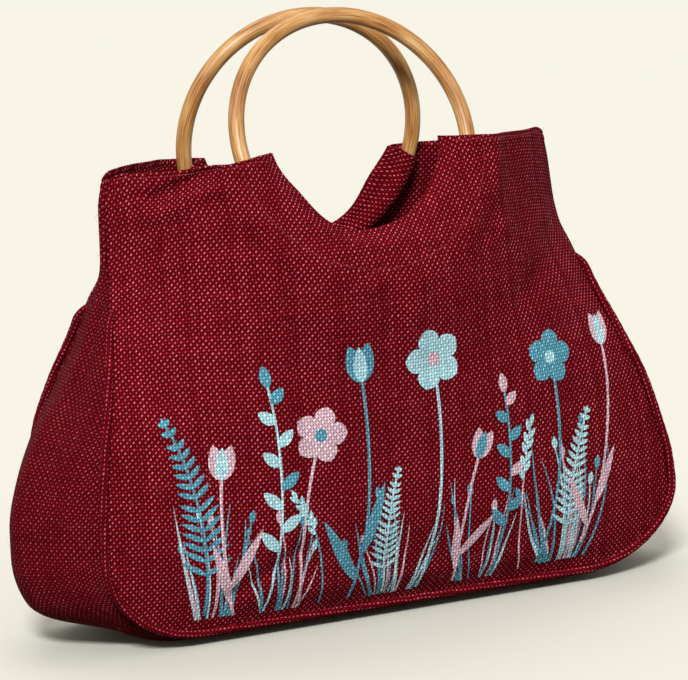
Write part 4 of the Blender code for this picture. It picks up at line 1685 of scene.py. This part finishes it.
back = np.array([
    -math.sin(CAMERA_TURN) * math.cos(CAMERA_RISE),
    -math.cos(CAMERA_TURN) * math.cos(CAMERA_RISE),
    math.sin(CAMERA_RISE),
])
right = np.array([math.cos(CAMERA_TURN), -math.sin(CAMERA_TURN), 0.0])
up = np.cross(back, right)
rolled_right = math.cos(CAMERA_ROLL) * right - math.sin(CAMERA_ROLL) * up
rolled_up = math.sin(CAMERA_ROLL) * right + math.cos(CAMERA_ROLL) * up

camera_data = bpy.data.cameras.new("Camera")
camera_data.sensor_width = SENSOR_MM
camera_data.lens = FOCAL_PX / FRAME_WIDTH_PX * SENSOR_MM
camera_data.shift_x = (FRAME_WIDTH_PX / 2 - AIM_PX[0]) / FRAME_WIDTH_PX
camera_data.shift_y = (AIM_PX[1] - FRAME_HEIGHT_PX / 2) / FRAME_WIDTH_PX
camera_data.clip_end = SEES_TO
camera = bpy.data.objects.new("Camera", camera_data)
bpy.context.scene.collection.objects.link(camera)
placed = np.eye(4)
placed[:3, 0], placed[:3, 1], placed[:3, 2] = rolled_right, rolled_up, back
placed[:3, 3] = aim + back * CAMERA_AWAY
camera.matrix_world = Matrix(placed.tolist())
bpy.context.scene.camera = camera
print("lens", round(camera_data.lens, 1), "mm, shift", round(camera_data.shift_x, 4),
      round(camera_data.shift_y, 4))

# %% [markdown]
# ## Floor and light
#
# The photograph has a plain cream ground and soft light from the front, the left and above. An
# area lamp would leave the far ground dim, so wide suns are used: a sun's light is as strong
# everywhere, and a large angle gives it the soft shadow of a softbox. The world is pale above
# and dark below, and the ground throws no light up, so the bag's foot turns dark as it does
# in the photograph. The standard view transform keeps the picked colours as they are.

# %% Floor
FLOOR_HALF = 14.0
bpy.ops.mesh.primitive_plane_add(size=2 * FLOOR_HALF, location=(0.0, 0.0, 0.0))
floor = bpy.context.object
floor.name = "studio_floor"
paper, _, shader = new_material("Matt paper ground")
set_constants(shader, Base_Color=linear("#E1DFD4"), Roughness=1.0, Specular_IOR_Level=0.0)
floor.data.materials.append(paper)
floor.visible_diffuse = False
print("floor:", paper.name)

# %% Lights
ROOM_STRENGTH = 0.45
HORIZON_BLUR = 0.25
world = bpy.data.worlds.new("Pale room")
world.use_nodes = True
room = world.node_tree
ahead = add(room, "TexCoord")
rise = add(room, "SeparateXYZ", {0: ahead.outputs["Generated"]})
level = add(room, "MapRange", {"Value": rise.outputs["Z"], "From Min": -HORIZON_BLUR,
                               "From Max": HORIZON_BLUR})
pale = ramp(add(room, "ValToRGB", {0: level}), [(0.0, "#50483F"), (1.0, "#FFFCF6")])
room.links.new(pale, room.nodes["Background"].inputs["Color"])
room.nodes["Background"].inputs["Strength"].default_value = ROOM_STRENGTH
bpy.context.scene.world = world
bpy.context.scene.view_settings.view_transform = "Standard"

Lamp = namedtuple("Lamp", "name turn rise strength spread")
LAMPS = [
    Lamp("Key softbox", -31.0, 36.0, 3.05, 12.0),
    Lamp("Right fill", 42.0, 40.0, 0.12, 40.0),
    Lamp("Back light", 160.0, 58.0, 0.75, 40.0),
]
for lamp in LAMPS:
    light = bpy.data.lights.new(lamp.name, "SUN")
    light.angle = math.radians(lamp.spread)
    light.energy = lamp.strength
    turn, rise = math.radians(lamp.turn), math.radians(lamp.rise)
    way = (math.sin(turn) * math.cos(rise), -math.cos(turn) * math.cos(rise), math.sin(rise))
    thing = bpy.data.objects.new(lamp.name, light)
    bpy.context.scene.collection.objects.link(thing)
    thing.location = way
    thing.rotation_euler = Vector(way).to_track_quat("Z", "Y").to_euler()
    print(lamp.name, "gives the floor", round(lamp.strength * math.sin(rise), 2))
